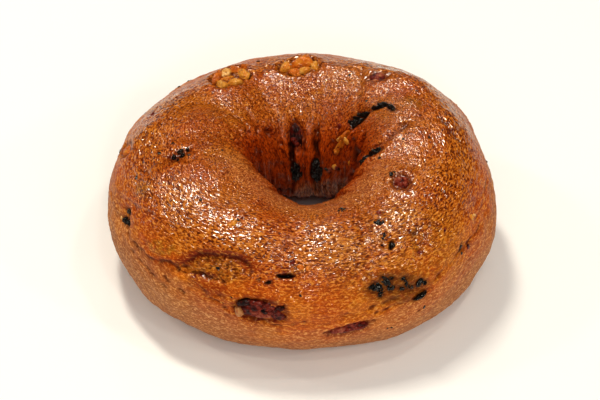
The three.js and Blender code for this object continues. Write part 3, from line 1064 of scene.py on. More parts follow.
# Every piece in the crust, by the node that it stands for. A lobe's numbers are its place, length,
# width, depth, height, turn and tone.
PIECES: tuple[Fruit, ...] = (
    Cranberry("cranberry_front", Place(347.5, 12, 4), 0.8, (
        Lobe(0, 0, 14.4, 6.6, 6, 0.1, 0, 0.36), Lobe(0.6, -1, 8, 3, 4, 0.4, -10, 0.62),
        Lobe(4.4, -0.8, 6.6, 3.4, 4, 0.3, -26, 0.3), Lobe(-4, 2, 4.2, 2, 3, 0.5, 18, 0.1),
        Lobe(-0.4, 2.2, 4.6, 1.6, 3, 0.5, -4, 0.42), Lobe(5.8, 1, 3, 1.8, 2.4, 0.15, 10, 0.15),
        Lobe(-5.6, -1, 2.4, 3.2, 3, 0.5, 24, 0.95), Lobe(2.2, 1, 3.6, 1.2, 2.4, 0.5, -30, 0.45),
        Lobe(1.6, -0.2, 2.2, 1.2, 2, 0.6, -20, 0.0))),
    Cranberry("cranberry_slit", Place(14.4, -9, 11), 0.8, (
        Lobe(0, 0, 11.4, 3.6, 4, 0.3, 0, 0.45), Lobe(-2.6, 0.3, 5, 2.2, 3, 0.6, 6, 0.6),
        Lobe(3, -0.2, 5, 2.2, 3, 0.6, -8, 0.35))),
    Cranberry("cranberry_right", Place(55.3, 97, 35), 0.7, (
        Lobe(0.6, 0, 5.6, 5, 5, 0.7, 0, 0.5), Lobe(1, 0.8, 3.4, 2.6, 4, 1, 20, 0.7),
        Lobe(-0.6, -1, 3, 2.2, 3, 0.9, -30, 0.55))),
    Cranberry("cranberry_back", Place(138.6, 98, -143), 0.4, (
        Lobe(0, 0, 6.2, 4, 4, 0.7, 0, 0.4), Lobe(0.6, 0.5, 3.4, 2.2, 3, 1, 0, 0.75))),
    Cranberry("cranberry_hole", Place(187.6, 143, 92), 0.5, (
        Lobe(0, 0, 8.2, 4.2, 4, 0.5, 0, 0.14), Lobe(1.6, -0.6, 3.6, 2, 2.6, 0.8, 30, 0.4))),
    Cranberry("cranberry_rear", Place(158, 24, 18), 1, (
        Lobe(0, 0, 11.6, 5.6, 5.4, 0.6, 0, 0.4), Lobe(-1.6, 0.4, 6, 3.4, 4, 1, 10, 0.7))),
    Cranberry("cranberry_left_low", Place(247, -8, -8), 0.8, (
        Lobe(0, 0, 9.6, 4, 4.2, 0.5, 0, 0.45), Lobe(2, 0, 4.4, 2.6, 3, 0.8, 0, 0.7))),
    Walnut("walnut_back_left", Place(213.5, 84), 0.7, (
        Lobe(3.6, -1.6, 6, 3.4, 4, 1.1, 36, 0.72), Lobe(0.4, -2.4, 4, 3.2, 3.6, 0.9, 10, 0.14),
        Lobe(-2.6, -2.6, 4.4, 3.6, 4, 1.4, -30, 0.68), Lobe(-4, 0.8, 3.4, 4.6, 4, 1, 10, 0.36),
        Lobe(3.8, 2.9, 4.4, 3.4, 4, 0.9, -10, 0.34), Lobe(0, 3.3, 4.6, 2.6, 3.6, 0.8, 6, 0.38),
        Lobe(1, 0.4, 5, 3, 3.6, 0.4, 0, 0.5), Lobe(-5.4, -2.6, 1.8, 1.6, 2.4, 0.8, 0, 0.7))),
    Walnut("walnut_back", Place(181.2, 86), 0.7, (
        Lobe(-0.6, -0.8, 8, 5.6, 5, 1.7, 12, 0.64), Lobe(-4.4, 0.8, 3.2, 4.8, 4, 0.8, 14, 0.36),
        Lobe(4.4, 0.2, 4, 4.6, 4, 0.8, 0, 0.46), Lobe(1.6, 3, 3.8, 2, 3.4, 0.6, -12, 0.68),
        Lobe(-1.4, 2.8, 4.6, 1.6, 3, 0.5, 10, 0.34))),
    Walnut("walnut_hole", Place(138.5, 151.5, -132), 0.4, (
        Lobe(-0.4, 0.3, 5.6, 2.2, 4, 0.9, -12, 0.5), Lobe(2.8, -0.6, 4, 2, 3, 0.9, -26, 0.7),
        Lobe(-2.9, 0.6, 2.6, 1.6, 3, 0.9, 0, 0.62), Lobe(1, 0.9, 3, 1.1, 3, 1, -30, 0.3),
        Lobe(0.4, -0.9, 3, 1.1, 3, 0.6, -6, 0.66))),
    Walnut("walnut_left", Place(267, 49, 30), 0.6, (
        Lobe(0, 0.4, 6, 3.8, 4.6, 0.5, 0, 0.74), Lobe(1.8, -0.8, 3.6, 2.8, 3.6, 0.6, 20, 0.6),
        Lobe(-1.6, -1.4, 2.8, 2, 3, 0.5, 0, 0.85))),
    Walnut("walnut_rear_right", Place(116, 34, 24), 0.7, (
        Lobe(0, 0, 8, 5.2, 4.8, 1, 0, 0.62), Lobe(-3.4, 2, 4.8, 4, 4, 0.9, 30, 0.4),
        Lobe(1.8, -1, 3.6, 3, 3.6, 1.3, 10, 0.15))),
    Raisin("raisin_long", Place(127, 131, -130), 0.5, (
        Lobe(-3.9, -0.1, 2.6, 1.5, 3, 0.35, 30, 0.3), Lobe(-2.7, 1.3, 2, 0.7, 3, 0.3, -20, 0.5),
        Lobe(-1.8, -0.5, 2.8, 0.8, 3, 0.35, 12, 0.3), Lobe(0.4, 0.5, 2.6, 0.8, 3, 0.4, -10, 0.3),
        Lobe(1.2, -0.5, 2.2, 0.6, 2.6, 0.3, 14, 0.3), Lobe(4.7, -0.3, 2.4, 0.9, 3, 0.35, -14, 0.2),
        Lobe(-5, 1.3, 1.4, 0.8, 2.4, 0.3, 50, 0.5), Lobe(-1.2, 1.6, 1.2, 0.6, 2, 0.2, 20, 0.4))),
    Raisin("raisin_inner_right", Place(116.5, 113, -150), 0.4, (
        Lobe(-1.6, 0.2, 3.4, 1.7, 3, 0.5, 10, 0.2), Lobe(1.6, -0.2, 3.2, 1.9, 3, 0.5, -20, 0.35))),
    Raisin("raisin_crease", Place(77.6, 138, -68), 0.5, (
        Lobe(-2, 0.2, 5, 3, 3.2, 0.7, 6, 0.3), Lobe(2.2, -0.2, 5, 2.6, 3.2, 0.7, -6, 0.2))),
    Raisin("raisin_hole_left", Place(192.1, 168, 95), 0.5, (
        Lobe(0, 0, 6.2, 3.2, 3.4, 0.8, 0, 0.1),)),
    Raisin("raisin_hole_right", Place(160.5, 168, 80), 0.5, (
        Lobe(0, 0, 7.2, 3.2, 3.2, 0.8, 0, 0.1),)),
    Raisin("raisin_right", Place(29.6, 25.5, -16), 0.35, (
        Lobe(-5.6, -0.2, 4, 2.8, 3.2, 0.2, 16, 0.1), Lobe(-4, -1.6, 2.6, 1.8, 2.8, 0.2, 60, 0.2),
        Lobe(-2.8, 1.4, 3.8, 2.6, 3.2, 0.25, -50, 0.15), Lobe(-1.4, -0.2, 3, 2, 2.8, 0.2, 20, 0.1),
        Lobe(-1.4, 2.4, 2, 1.2, 2.4, 0.15, 0, 0.4), Lobe(2.2, 2.2, 2, 1.1, 2.4, 0.15, 10, 0.2),
        Lobe(3, 1, 1.3, 3, 2.4, 0.2, 12, 0.1), Lobe(2, -0.6, 2.2, 1.5, 2.4, 0.15, -20, 0.2),
        Lobe(4.6, -0.4, 2.2, 1.8, 2.6, 0.1, -40, 0.6), Lobe(7.2, 0.8, 2.8, 1.9, 2.8, 0.2, 50, 0.2),
        Lobe(8.8, 0.8, 1.4, 1.2, 2, 0.1, 0, 0.1), Lobe(8, -3, 4.2, 1.2, 2.2, 0, 34, 0.3))),
    Raisin("raisin_left", Place(281.8, 92, 131), 0.4, (
        Lobe(-2, 0.8, 2.2, 1.3, 3, 0.2, 30, 0.2), Lobe(1.2, 1, 2.2, 1.2, 3, 0.2, -14, 0.6),
        Lobe(0, -0.8, 2, 1.1, 2.6, 0.2, 0, 0.2), Lobe(-2.6, -1.2, 1.4, 0.9, 2.4, 0.15, 0, 0.4),
        Lobe(2.8, -0.4, 1.5, 1, 2.4, 0.15, 40, 0.5))),
    Raisin("raisin_left_low", Place(292.4, 28, -8), 0.6, (
        Lobe(-1.6, 1.8, 2.2, 1.6, 2.6, -1.1, 20, 0.6), Lobe(1, -0.2, 2.4, 1.8, 2.8, -1.2, -10, 0.3),
        Lobe(-1, -1.4, 1.6, 1.8, 2.4, -1.1, 30, 0.4))),
    Raisin("raisin_rear", Place(222, 34, -30), 0.5, (
        Lobe(-1.6, 0, 4.6, 3.2, 3.6, 0.1, 10, 0.2), Lobe(2, 0.4, 4, 3, 3.4, 0.1, -20, 0.35))),
    Raisin("raisin_right_low", Place(100, 6, 16), 0.5, (
        Lobe(-1.6, 0, 4.4, 3, 3.2, 0.6, 0, 0.25), Lobe(2.2, 0.2, 3.6, 2.6, 3, 0.6, 20, 0.3))),
)


@dataclass
class Crust:
    """The ring of dough with its relief and the attributes that its finish reads.

    A lump is waves round the ring, waves along the section, height and phase. A pleat is its
    azimuths at its first and last section, its depth and its first section. The glaze's edge is
    azimuths and the section angles that the wash reaches down to. Bands are in degrees of the
    section, but for the throat's side, which is in degrees round the ring. A stretch is the skin's
    millimetres for one unit of noise, round the ring twice and then up the section.
    """

    form: RingForm
    columns: int = 512
    rows: int = 184
    base_rows: int = 6
    base_fade: float = 5.0
    wobble: float = 0.65
    wobble_period: float = 5.0
    gather_height: float = 0.55
    gathers_round: float = 9
    gathers_along: float = 0.9
    fine_height: float = 0.12
    fine_period: float = 3.0
    side_height: float = 0.16
    side_stretch: tuple[float, float, float] = (8, 8, 1.9)
    lump_height: float = 0.2
    lump_period: float = 7.0
    edge_sway: float = 6
    edge_sway_period: float = 9.0
    edge_rag: float = 7
    edge_stretch: tuple[float, float, float] = (9, 9, 2.2)
    dense: Band = Band(-25, 20, 205, 20)
    # Painted light on the near lip inside the hole
    painted_lip_light: Band = Band(98, 14, 148, 16)
    hole: Band = Band(118, 38, 240, 20)
    deep: Band = Band(150, 40, 240, 20)
    throat: Band = Band(174, 8, 212, 10)
    throat_side: Band = Band(95, 25, 205, 25)
    base_shade: Band = Band(206, 8, 236, 10)
    gloss_start: float = 22
    gloss_retreat: float = 12
    gloss_fade: float = 38
    lumps: tuple[tuple[float, float, float, float], ...] = (
        (5, 3, 0.35, 0.7), (9, 2, 0.35, 2.1), (13, 5, 0.25, 4.4))
    furrows: tuple[Furrow, ...] = (
        Furrow(((286, 25), (295, 25), (303, 23.5), (312.5, 25.5), (317.5, 30.5), (320.5, 33)),
               -0.4, 0.6, step=0.9),
        Furrow(((320.2, 28), (327.6, 23), (332.5, 16), (337.4, 12), (342, 12)), -0.4, 0.6,
               step=0.7),
        Furrow(((321.5, 25.5), (324.5, 28.5), (328, 30), (333.5, 30.5), (336, 29)), 1.1, 0.42),
        Furrow(((334, 24.5), (340, 22.5), (347, 23), (352, 24.5)), -0.4, 0.4),
        Furrow(((333, 17.5), (339, 16.5), (344, 18)), -0.4, 0.4),
        Furrow(((282, 34), (290, 45), (300, 52)), -0.3, 0.6, step=0.5),
        Furrow(((348, -5), (8, 7), (30, 15)), 0.5, 0.7),
        Furrow(((98, 90), (91, 82), (88, 68)), 0.9, 0.5),
        Furrow(((96, 106), (87, 120), (79, 152)), 1.5, 1.2),
        Furrow(((141, 118), (150, 95)), 0.7, 1.2),
        Furrow(((196, 20), (172, 5), (148, 12)), 0.8, 1.2),
        Furrow(((250, 15), (232, 2), (214, -6)), 0.7, 1.2),
        Furrow(((336, 6), (352, -3), (8, 2), (22, 10)), 0.4, 0.5),
        Furrow(((316, 13), (323, 8)), 0.7, 0.45),
        Furrow(((0, -4), (18, 3), (34, 9)), 0.4, 0.5),
        Furrow(((36, -9), (41, -3)), 0.7, 0.4),
        Furrow(((40, 16), (52, 24), (66, 26)), 0.45, 0.6, step=0.3),
        Furrow(((60, 52), (70, 40), (82, 36)), 0.25, 0.7, step=0.25),
        Furrow(((92, 72), (101, 60), (104, 48)), 0.3, 0.7),
        Furrow(((66, 34), (74, 33.5), (84, 28)), 0.3, 0.6, step=0.25),
        Furrow(((266, 72), (280, 66), (292, 70)), 0.3, 0.6),
        Furrow(((258, 36), (268, 28), (280, 20)), 0.5, 0.7, step=0.3),
        Furrow(((300, 14), (312, 8), (326, -2)), 0.35, 0.6),
        Furrow(((328, 58), (340, 52), (352, 56)), 0.25, 0.7),
        Furrow(((20, 58), (26, 70), (24, 82)), 0.25, 0.7),
    )
    pleats: tuple[tuple[float, float, float, float], ...] = (
        (12, 18, 1.0, 140), (37, 30, 1.2, 138), (58, 55, 1.0, 138), (82, 84, 1.3, 138),
        (108, 112, 1.6, 146), (124, 130, 1.4, 150), (166, 159, 2.2, 142), (148, 146, 1.3, 150),
        (178, 178, 1.2, 152), (194, 199, 2.6, 149), (206, 205, 1.2, 148), (216, 212, 1.3, 140),
        (228, 224, 1.1, 140), (240, 233, 1.2, 138), (252, 244, 1.1, 138), (265, 256, 1.3, 134),
        (279, 270, 1.1, 136), (291, 284, 1.1, 138), (312, 306, 1.0, 140), (338, 343, 1.0, 140))
    pleat_end: float = 198
    pleat_width: float = 0.95
    # Hollows tinted DARK carry painted shade in slits, pits and the crevices of the hole
    hollows: tuple[Hollow, ...] = (
        Hollow(Place(331.8, 39.5, 13), 23.5, 9.6, 1.9, Edge.LEDGE, Tint.AMBER, 0.75, 0.08),
        Hollow(Place(292, 27, -8), 15, 10, 1.6),
        Hollow(Place(33, 61), 11, 5, 1.0),
        Hollow(Place(128, 133, -130), 15, 8, 1.4),
        Hollow(Place(282, 92, 131), 11, 7, 0.5),
        Hollow(Place(355.4, 43.8, 6), 5, 1.5, 2.0, Edge.SHARP, Tint.DARK, 1.0),
        Hollow(Place(353, 43, -24), 2.6, 1.1, 1.2, Edge.SHARP, Tint.DARK, 0.9),
        Hollow(Place(355.8, 45.6, 4), 7, 3.4, -0.3, Edge.SOFT, Tint.RED, 0.7),
        Hollow(Place(349.6, 37, 12), 2.4, 1.3, 1.0, Edge.SHARP, Tint.DARK, 1.0),
        Hollow(Place(346.5, 38, -12), 1.6, 0.9, 0.7, Edge.SHARP, Tint.DARK, 0.8),
        Hollow(Place(32.9, 58.5, 50), 3.6, 1.6, 1.5, Edge.SHARP, Tint.DARK, 1.0),
        Hollow(Place(42, 59, 20), 4, 2.4, 0.5, Edge.SOFT, Tint.DARK, 0.4),
        Hollow(Place(40.6, 44, 10), 3, 2, 0.4, Edge.SOFT, Tint.RED, 0.9),
        Hollow(Place(55.3, 27, 60), 4, 2.4, 0.5, Edge.SOFT, Tint.DARK, 0.5),
        Hollow(Place(292.6, 59, 20), 9, 6, -0.4, Edge.SOFT, Tint.AMBER, 0.9),
        Hollow(Place(312.2, 35.5, 20), 12, 5, -0.3, Edge.SOFT, Tint.AMBER, 1.0),
        Hollow(Place(246, 55, 20), 8, 5, -0.3, Edge.SOFT, Tint.AMBER, 0.8),
        Hollow(Place(110.6, 96.5, 10), 8, 5, -0.3, Edge.SOFT, Tint.AMBER, 0.9),
        Hollow(Place(38, 49, 10), 5, 4, -0.2, Edge.SOFT, Tint.AMBER, 0.9),
        Hollow(Place(0, 50, 10), 5, 3, -0.2, Edge.SOFT, Tint.AMBER, 0.8),
        Hollow(Place(331, 23.5, 4), 13, 4.4, -0.3, Edge.SOFT, Tint.RUST, 0.8),
        Hollow(Place(327.6, 29.2, 22), 11, 2.2, 0.2, Edge.SOFT, Tint.RED, 1.0),
        Hollow(Place(268, 45, 0), 9, 5, -0.3, Edge.SOFT, Tint.AMBER, 0.7),
        Hollow(Place(209.3, 138), 7, 6, -0.9, Edge.SOFT, Tint.RED, 0.9),
        Hollow(Place(251.3, 66.5, 30), 6, 3, 0.4, Edge.SOFT, Tint.RED, 0.6),
        Hollow(Place(92, 80, -60), 12, 3, 0, Edge.SOFT, Tint.RED, 0.7),
        Hollow(Place(195.6, 156, 93), 9, 1.9, 0.9, Edge.SOFT, Tint.DARK, 0.75),
        Hollow(Place(163.6, 153, 97), 8, 1.7, 0.9, Edge.SOFT, Tint.DARK, 0.7),
        Hollow(Place(112, 161, 90), 8, 4.4, 0.8, Edge.SOFT, Tint.DARK, 0.7),
        Hollow(Place(319.5, 27.5, -55), 3.6, 1.6, 0.6, Edge.SOFT, Tint.DARK, 0.5),
        Hollow(Place(58, 22, 0), 4.6, 3, -0.2, Edge.SOFT, Tint.RED, 0.6),
        Hollow(Place(30, 24, -16), 22, 10, 0.1, Edge.SOFT, Tint.DARK, 0.45),
        Hollow(Place(347.5, 12, 4), 19, 11, 0, Edge.SOFT, Tint.RED, 0.55),
        Hollow(Place(348, 3.5, 4), 13, 3, 0.2, Edge.SOFT, Tint.RED, 0.7),
        Hollow(Place(14.4, -9, 11), 15, 6.5, 0, Edge.SOFT, Tint.RED, 0.5),
        Hollow(Place(55.3, 97, 35), 11, 9, 0, Edge.SOFT, Tint.RED, 0.45),
        Hollow(Place(138.6, 98, -143), 9, 7, 0, Edge.SOFT, Tint.RED, 0.4),
        Hollow(Place(158, 24, 18), 15, 9, 0, Edge.SOFT, Tint.RED, 0.5),
        Hollow(Place(247, -8, -8), 13, 8, 0, Edge.SOFT, Tint.RED, 0.5),
        Hollow(Place(285, 33, 30), 9, 7, 0, Edge.SOFT, Tint.RED, 0.45),
        Hollow(Place(34, 50, 0), 46, 34, 0, Edge.SOFT, Tint.AMBER, 0.6),
        Hollow(Place(181, 86), 15, 12, 0, Edge.SOFT, Tint.AMBER, 0.5),
        Hollow(Place(213.5, 84), 15, 12, 0, Edge.SOFT, Tint.AMBER, 0.5),
    )
    glaze_edge: tuple[tuple[float, float], ...] = (
        (0, -5), (14, -3), (28, 4), (45, 12), (58, 18), (75, 24), (100, 22), (150, 16), (200, 20),
        (250, 24), (292, 27), (315, 27), (331, 10), (347, -6), (360, -5))
    grain: Grain = field(default_factory=lambda: Grain(11))
    height: Array = field(init=False, default_factory=lambda: np.zeros((1, 1)))

    def spot(self, azimuth: float, section: float) -> tuple[Array, Array]:
        """Point on the finished crust.

        Args:
            azimuth: Degrees round the ring.
            section: Degrees round the section.

        Returns:
            The point, and the three directions there as rows.
        """
        point, axes = self.form.frame(Place(azimuth, section))
        sections = np.degrees(self.sections())
        row = int(np.argmin(np.abs(sections - section)))
        column = int(round(azimuth / 360 * self.columns)) % self.columns
        return point + self.height[column, row] * axes[2], axes

    def sections(self) -> Array:
        """Section angles of the rows, closer together over the top and in the hole.

        The rows run from one edge of the flat base over the crown to the other, twice as close
        above the widest level as below it, and a few cross the base.

        Returns:
            Angles in radians.
        """
        edge = np.degrees(self.form.base_edge())
        angles = np.linspace(-edge, 180 + edge, 2000)
        density = 0.5 + 0.5 * self.dense.share(angles)
        total = np.cumsum(density)
        main = np.interp(np.linspace(total[0], total[-1], self.rows), total, angles)
        base = np.linspace(180 + edge, 360 - edge, self.base_rows + 2)[1:-1]
        return np.radians(np.concatenate([main, base]))

    def crust_map(self, azimuth: Array, points: Array) -> Array:
        """Coordinates that follow the skin, in millimetres: round the ring, and up the section.

        The first two are the ring's radius times the sine and cosine of the azimuth, so the map has
        no seam round the ring. The third is the way walked up the section.

        Args:
            azimuth: Angles round the ring, in radians.
            points: Points of the crust.

        Returns:
            Three coordinates for each point.
        """
        radius = np.maximum(np.linalg.norm(points[..., :2], axis=-1), 18)
        steps = np.linalg.norm(np.diff(points, axis=1), axis=-1)
        walked = np.concatenate([np.zeros((len(points), 1)), np.cumsum(steps, axis=1)], axis=1)
        return np.stack([radius * np.sin(azimuth), -radius * np.cos(azimuth), walked], axis=-1)

    def relief(self, azimuth: Array, section: Array, points: Array, ups: Array) -> Array:
        """Height of the crust over the smooth form, before its wrinkles.

        Args:
            azimuth: Angles round the ring, in radians.
            section: Angles round the section, in radians.
            points: Points of the smooth crust, moved a little so that no line is straight.
            ups: Directions up the section at those points.

        Returns:
            Height in millimetres.
        """
        height = np.zeros(points.shape[:-1])
        for around, along, size, phase in self.lumps:
            height += size * np.sin(around * azimuth + phase) * np.cos(along * section)
        pleats = [Furrow(((first, start), ((first + last) / 2, (start + self.pleat_end) / 2),
                          (last, self.pleat_end)), depth, self.pleat_width)
                  for first, last, depth, start in self.pleats]
        for furrow in (*self.furrows, *pleats):
            height += furrow.height(self.form, points, ups)
        for hollow in self.hollows:
            height += hollow.height(self.form, points)
        return height

    def wrinkles(self, azimuth: Array, section: Array, points: Array) -> Array:
        """Height of the finer relief, in millimetres.

        Gathers round the hole are ridges of noise in the azimuth that grow towards the throat. Skin
        wrinkles are ridges with a period of about 3 mm all over, long ones run round the side, and
        soft lumps of about 7 mm lie under them.

        Args:
            azimuth: Angles round the ring, in radians.
            section: Angles round the section, in radians.
            points: Points of the smooth crust.

        Returns:
            Height in millimetres.
        """
        degrees = np.degrees(section)
        round_hole = smooth((degrees - 96) / 50)
        gather = np.stack([self.gathers_round * np.sin(azimuth),
                           self.gathers_round * np.cos(azimuth),
                           self.gathers_along * section], axis=-1)
        height = self.gather_height * round_hole * self.grain.ridged(gather)
        height += self.fine_height * self.grain.ridged(points / self.fine_period)
        skin = self.crust_map(azimuth, points) / self.side_stretch
        side = smooth((52 - degrees) / 40) + smooth((degrees - 190) / 20)
        height += self.side_height * side * self.grain.ridged(skin)
        return height + self.lump_height * self.grain.fractal(points / self.lump_period, 4)

    def attributes(self, azimuth: Array, section: Array, points: Array,
                   height: Array) -> dict[str, Array]:
        """Values for the finish: folds, paleness, gloss and the tinted patches.

        A fold is where the crust lies below the mean of its neighbours, and it is darkened there as
        painted shade, more so deep in the hole and at the base's edge. The wash thins out below the
        glaze's edge, which noise makes ragged, and the crust is pale where it is missing. The near
        lip inside the hole is made paler as painted light.

        Args:
            azimuth: Angles round the ring, in radians.
            section: Angles round the section, in radians.
            points: Points of the smooth crust.
            height: Height of the relief at those points.

        Returns:
            One array for each attribute, by its name.
        """
        degrees = np.degrees(section)
        wide = np.degrees(azimuth) % 360
        edge = np.interp(wide, *np.array(self.glaze_edge).T)
        edge = edge + self.edge_sway * self.grain.noise(points / self.edge_sway_period)
        skin = self.crust_map(azimuth, points) / self.edge_stretch
        edge = edge + self.edge_rag * self.grain.fractal(skin, 2)
        pale = 0.5 * smooth((edge + 3 - degrees) / 10) + 0.5 * smooth((edge - 8 - degrees) / 26)
        pale = pale + smooth((degrees - 215) / 20)
        # Painted light: the near lip inside the hole is made paler
        pale = pale + 0.4 * self.painted_lip_light.share(degrees) * smooth((np.cos(azimuth) - 0.1) / 0.5)
        # Painted shade: darker where the crust lies below the mean of its neighbours, deep in the
        # hole and at the base's edge, and less so in the throat
        mean = height.copy()
        for shift in range(1, 3):
            for axis in (0, 1):
                mean = (mean + 0.5 * (np.roll(mean, shift, axis) + np.roll(mean, -shift, axis))) / 2
        fold = smooth((mean - height - 0.05) / 0.3)
        hole = self.hole.share(degrees)
        depth = self.deep.share(degrees)
        throat = self.throat.share(degrees) * self.throat_side.share(wide)
        fold = np.maximum(fold * (0.8 - 0.35 * hole + 0.5 * depth), 0.4 * depth)
        fold = np.maximum(fold * (1 - 0.8 * throat), self.base_shade.share(degrees))
        start = self.gloss_start + self.gloss_retreat * (1 - np.cos(azimuth))
        gloss = 0.2 + 0.8 * smooth((degrees - start) / self.gloss_fade)
        gloss = np.clip(1 - pale, 0, 1) * gloss * (1 - 0.2 * hole)
        values = {"cavity": fold, "hole": hole, "throat": throat,
                  "pale": np.clip(pale, 0, 1) * (1 - hole) + 0.8 * throat,
                  "inward": smooth((degrees - 84) / 22),
                  "gloss": gloss * (1 - 0.5 * depth * (1 - throat))}
        for tint in Tint:
            stains = [h.stain(self.form, points) for h in self.hollows if h.tint is tint]
            if tint is Tint.RUST:
                stains += [h.lid(self.form, points) for h in self.hollows if h.edge is Edge.LEDGE]
            values[tint.value] = np.clip(sum(stains, np.zeros(points.shape[:-1])), 0, 1)
        values["gloss"] *= (1 - 0.85 * values["rust"]) * (1 - 0.7 * values["dark"])
        return values

    def build(self, limits: Limits, material: bpy.types.Material) -> bpy.types.Object:
        """Makes the dough: a grid closed both ways, moved out by its relief and wrinkles.

        Args:
            limits: Box that the crust stays in.
            material: Finish of the crust.

        Returns:
            The object, riding on the body and standing for the node of the dough.
        """
        azimuth = 2 * np.pi * np.arange(self.columns)[:, None] / self.columns
        azimuth, section = np.broadcast_arrays(azimuth, self.sections()[None, :])
        points = self.form.points(azimuth, section)
        axes = self.form.axes(azimuth, section)
        wobble = [Grain(31 + k).fractal(points / self.wobble_period, 3) for k in range(3)]
        wobbled = points + self.wobble * np.stack(wobble, axis=-1)
        height = self.relief(azimuth, section, wobbled, axes[..., 1, :])
        height = height + self.wrinkles(azimuth, section, points)
        seats = [piece.seat(self.form, points) for piece in PIECES]
        height = height + sum(rise for rise, _ in seats)
        groove = np.max([shade for _, shade in seats], axis=0)
        height = height * smooth(points[..., 2] / self.base_fade)
        values = self.attributes(azimuth, section, points, height)
        # Painted shade in the grooves round the pieces
        values["cavity"] = np.maximum(values["cavity"], 0.6 * groove)
        values["crust"] = self.crust_map(azimuth, points)
        self.height = height
        surface = limits.hold(points + height[..., None] * axes[..., 2, :])
        number = np.arange(azimuth.size).reshape(azimuth.shape)
        after = np.roll(number, -1, axis=0)
        faces = np.stack([number, after, np.roll(after, -1, axis=1), np.roll(number, -1, axis=1)],
                         axis=-1).reshape(-1, 4)
        flat = {key: value.reshape(azimuth.size, -1).squeeze() for key, value in values.items()}
        piece = make_object("dough_crust", surface.reshape(-1, 3), faces, material, flat)
        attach(piece, BODY)
        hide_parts("dough")
        return piece


@dataclass(frozen=True)
class Bits:
    """Small torn bits of one fruit on the crust, joined in one mesh.

    Each listed bit has its azimuth, section, length and tone. More are drawn at random over the
    back, where the listed ones are missing, from a seeded generator between two such rows.
    """

    name: str
    finish: PieceFinish
    listed: tuple[tuple[float, float, float, float], ...]
    drawn: int
    seed: int
    rows: ClassVar[int] = 7
    columns: ClassVar[int] = 10
    least: ClassVar[tuple[float, ...]] = (100, -20, 0.7, 0)
    most: ClassVar[tuple[float, ...]] = (262, 52, 1.8, 0.5)
    flatness: ClassVar[float] = 0.4
    sunk: ClassVar[float] = 0.02

    def places(self) -> Array:
        """Azimuth, section, length and tone of every bit, the listed ones first."""
        rng = np.random.default_rng(self.seed)
        more = rng.uniform(self.least, self.most, (self.drawn, 4))
        return np.concatenate([np.array(self.listed), more])

    def build(self, crust: Crust, limits: Limits,
              material: bpy.types.Material) -> bpy.types.Object:
        """Makes the bits: flattened balls with torn outlines, turned at random, half sunk.

        Args:
            crust: Finished crust that they lie on.
            limits: Box that they stay in.
            material: Finish of the bits.

        Returns:
            The object, riding on the body.
        """
        ways, faces = ball(self.rows, self.columns)
        rng = np.random.default_rng(self.seed + 1)
        points, parts, tones = [], [], []
        for number, (azimuth, section, length, tone) in enumerate(self.places()):
            origin, axes = crust.spot(azimuth, section)
            grain = Grain(self.seed + 7 * number)
            size = np.clip(0.85 + 0.35 * grain.fractal(ways * 1.6 + number, 2), 0.4, 1.2)
            x, y, z = np.moveaxis(ways * size[:, None] * length / 2, -1, 0)
            turn = rng.uniform(0, 2 * np.pi)
            narrow = rng.uniform(0.55, 0.85)
            local = np.stack([x * np.cos(turn) - narrow * y * np.sin(turn),
                              x * np.sin(turn) + narrow * y * np.cos(turn),
                              self.flatness * z - self.sunk * length], axis=-1)
            points.append(origin + local @ axes)
            parts.append(faces + number * len(ways))
            tones.append(np.full(len(ways), tone))
        held = limits.hold(np.concatenate(points))
        tones = np.concatenate(tones)
        piece = make_object(self.name, held, np.concatenate(parts), material,
                            {"cavity": np.zeros(len(tones)), "tone": tones})
        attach(piece, BODY)
        return piece


RAISIN_BITS = Bits("raisin_bits", RAISIN_SKIN, (
    (331.8, 40.5, 1.9, 0.1), (332.5, 39.6, 1.4, 0.1), (32.2, 68, 1.6, 0.1), (31.2, 66, 1.0, 0.3),
    (32.9, 80.5, 2.2, 0.1), (34.6, 79.6, 1.4, 0.3), (31.6, 82, 1.3, 0.1), (33.8, 83.2, 1.0, 0.2),
    (312.9, 86.5, 1.5, 0), (332.5, 80.8, 1.1, 0), (284.9, 57.5, 1.4, 0.2), (0, 29, 1.1, 0.3),
    (57.4, 104.5, 2, 0.1), (59.4, 103.6, 1.2, 0.2),
    (147.7, 168, 1.7, 0), (16.1, 122.5, 1.1, 0.2), (197.4, 64.5, 1.4, 0.3), (284.5, 113.5, 1, 0.2),
    (265.3, 127.5, 1, 0.3), (273.3, 91, 1.2, 0.3), (70.3, 122, 1.3, 0.1), (84.3, 107, 1.2, 0.1),
    (86.1, 93.5, 1.2, 0.1), (153.6, 101.5, 1.3, 0.3), (131.9, 119.5, 1.3, 0.2),
    (54.9, 21, 1.2, 0.2), (55.3, 27, 1.7, 0.1), (28, -17.5, 1.2, 0.6), (26.6, -17, 0.9, 0.6),
    (19.6, 104, 1.3, 0), (21.6, 106, 1.6, 0), (23, 104.6, 1.3, 0.1), (21.4, 103, 1.1, 0.1),
    (38.1, -6.5, 1.6, 0.3), (279, 88, 1.6, 0.2), (284.6, 94, 1.4, 0.3), (349.8, 37, 1.2, 0),
    (33.4, 57.4, 1.9, 0), (29.8, 60.6, 1.1, 0.2), (338.8, 20.4, 1, 0.3), (353, 16, 1.3, 0.1)),
    drawn=16, seed=301)
WALNUT_BITS = Bits("walnut_bits", WALNUT_KERNEL, (
    (331.4, 77, 2.4, 0.34), (330.7, 74.6, 1.4, 0.4), (55.6, 95.5, 1.3, 0.3), (64.4, 37.5, 2.4, 0.3),
    (66, 36.4, 1.4, 0.2), (129.8, 151, 2.6, 0.4), (119.4, 169, 2.8, 0.45), (138.6, 167, 2.2, 0.3),
    (259, 128, 1.3, 0.4), (264.6, 94.5, 1.4, 0.4), (345.4, -6.5, 0.9, 0.3), (38.1, 47.5, 1.6, 0.5),
    (290.2, 24.2, 2.2, 0.2), (288.8, 22.4, 1.5, 0.1), (359.8, 51, 2.4, 0.66), (2.2, 50.2, 1.8, 0.6),
    (335.4, 10.2, 1.4, 0.3), (203, 87, 1.4, 0.5)),
    drawn=10, seed=401)
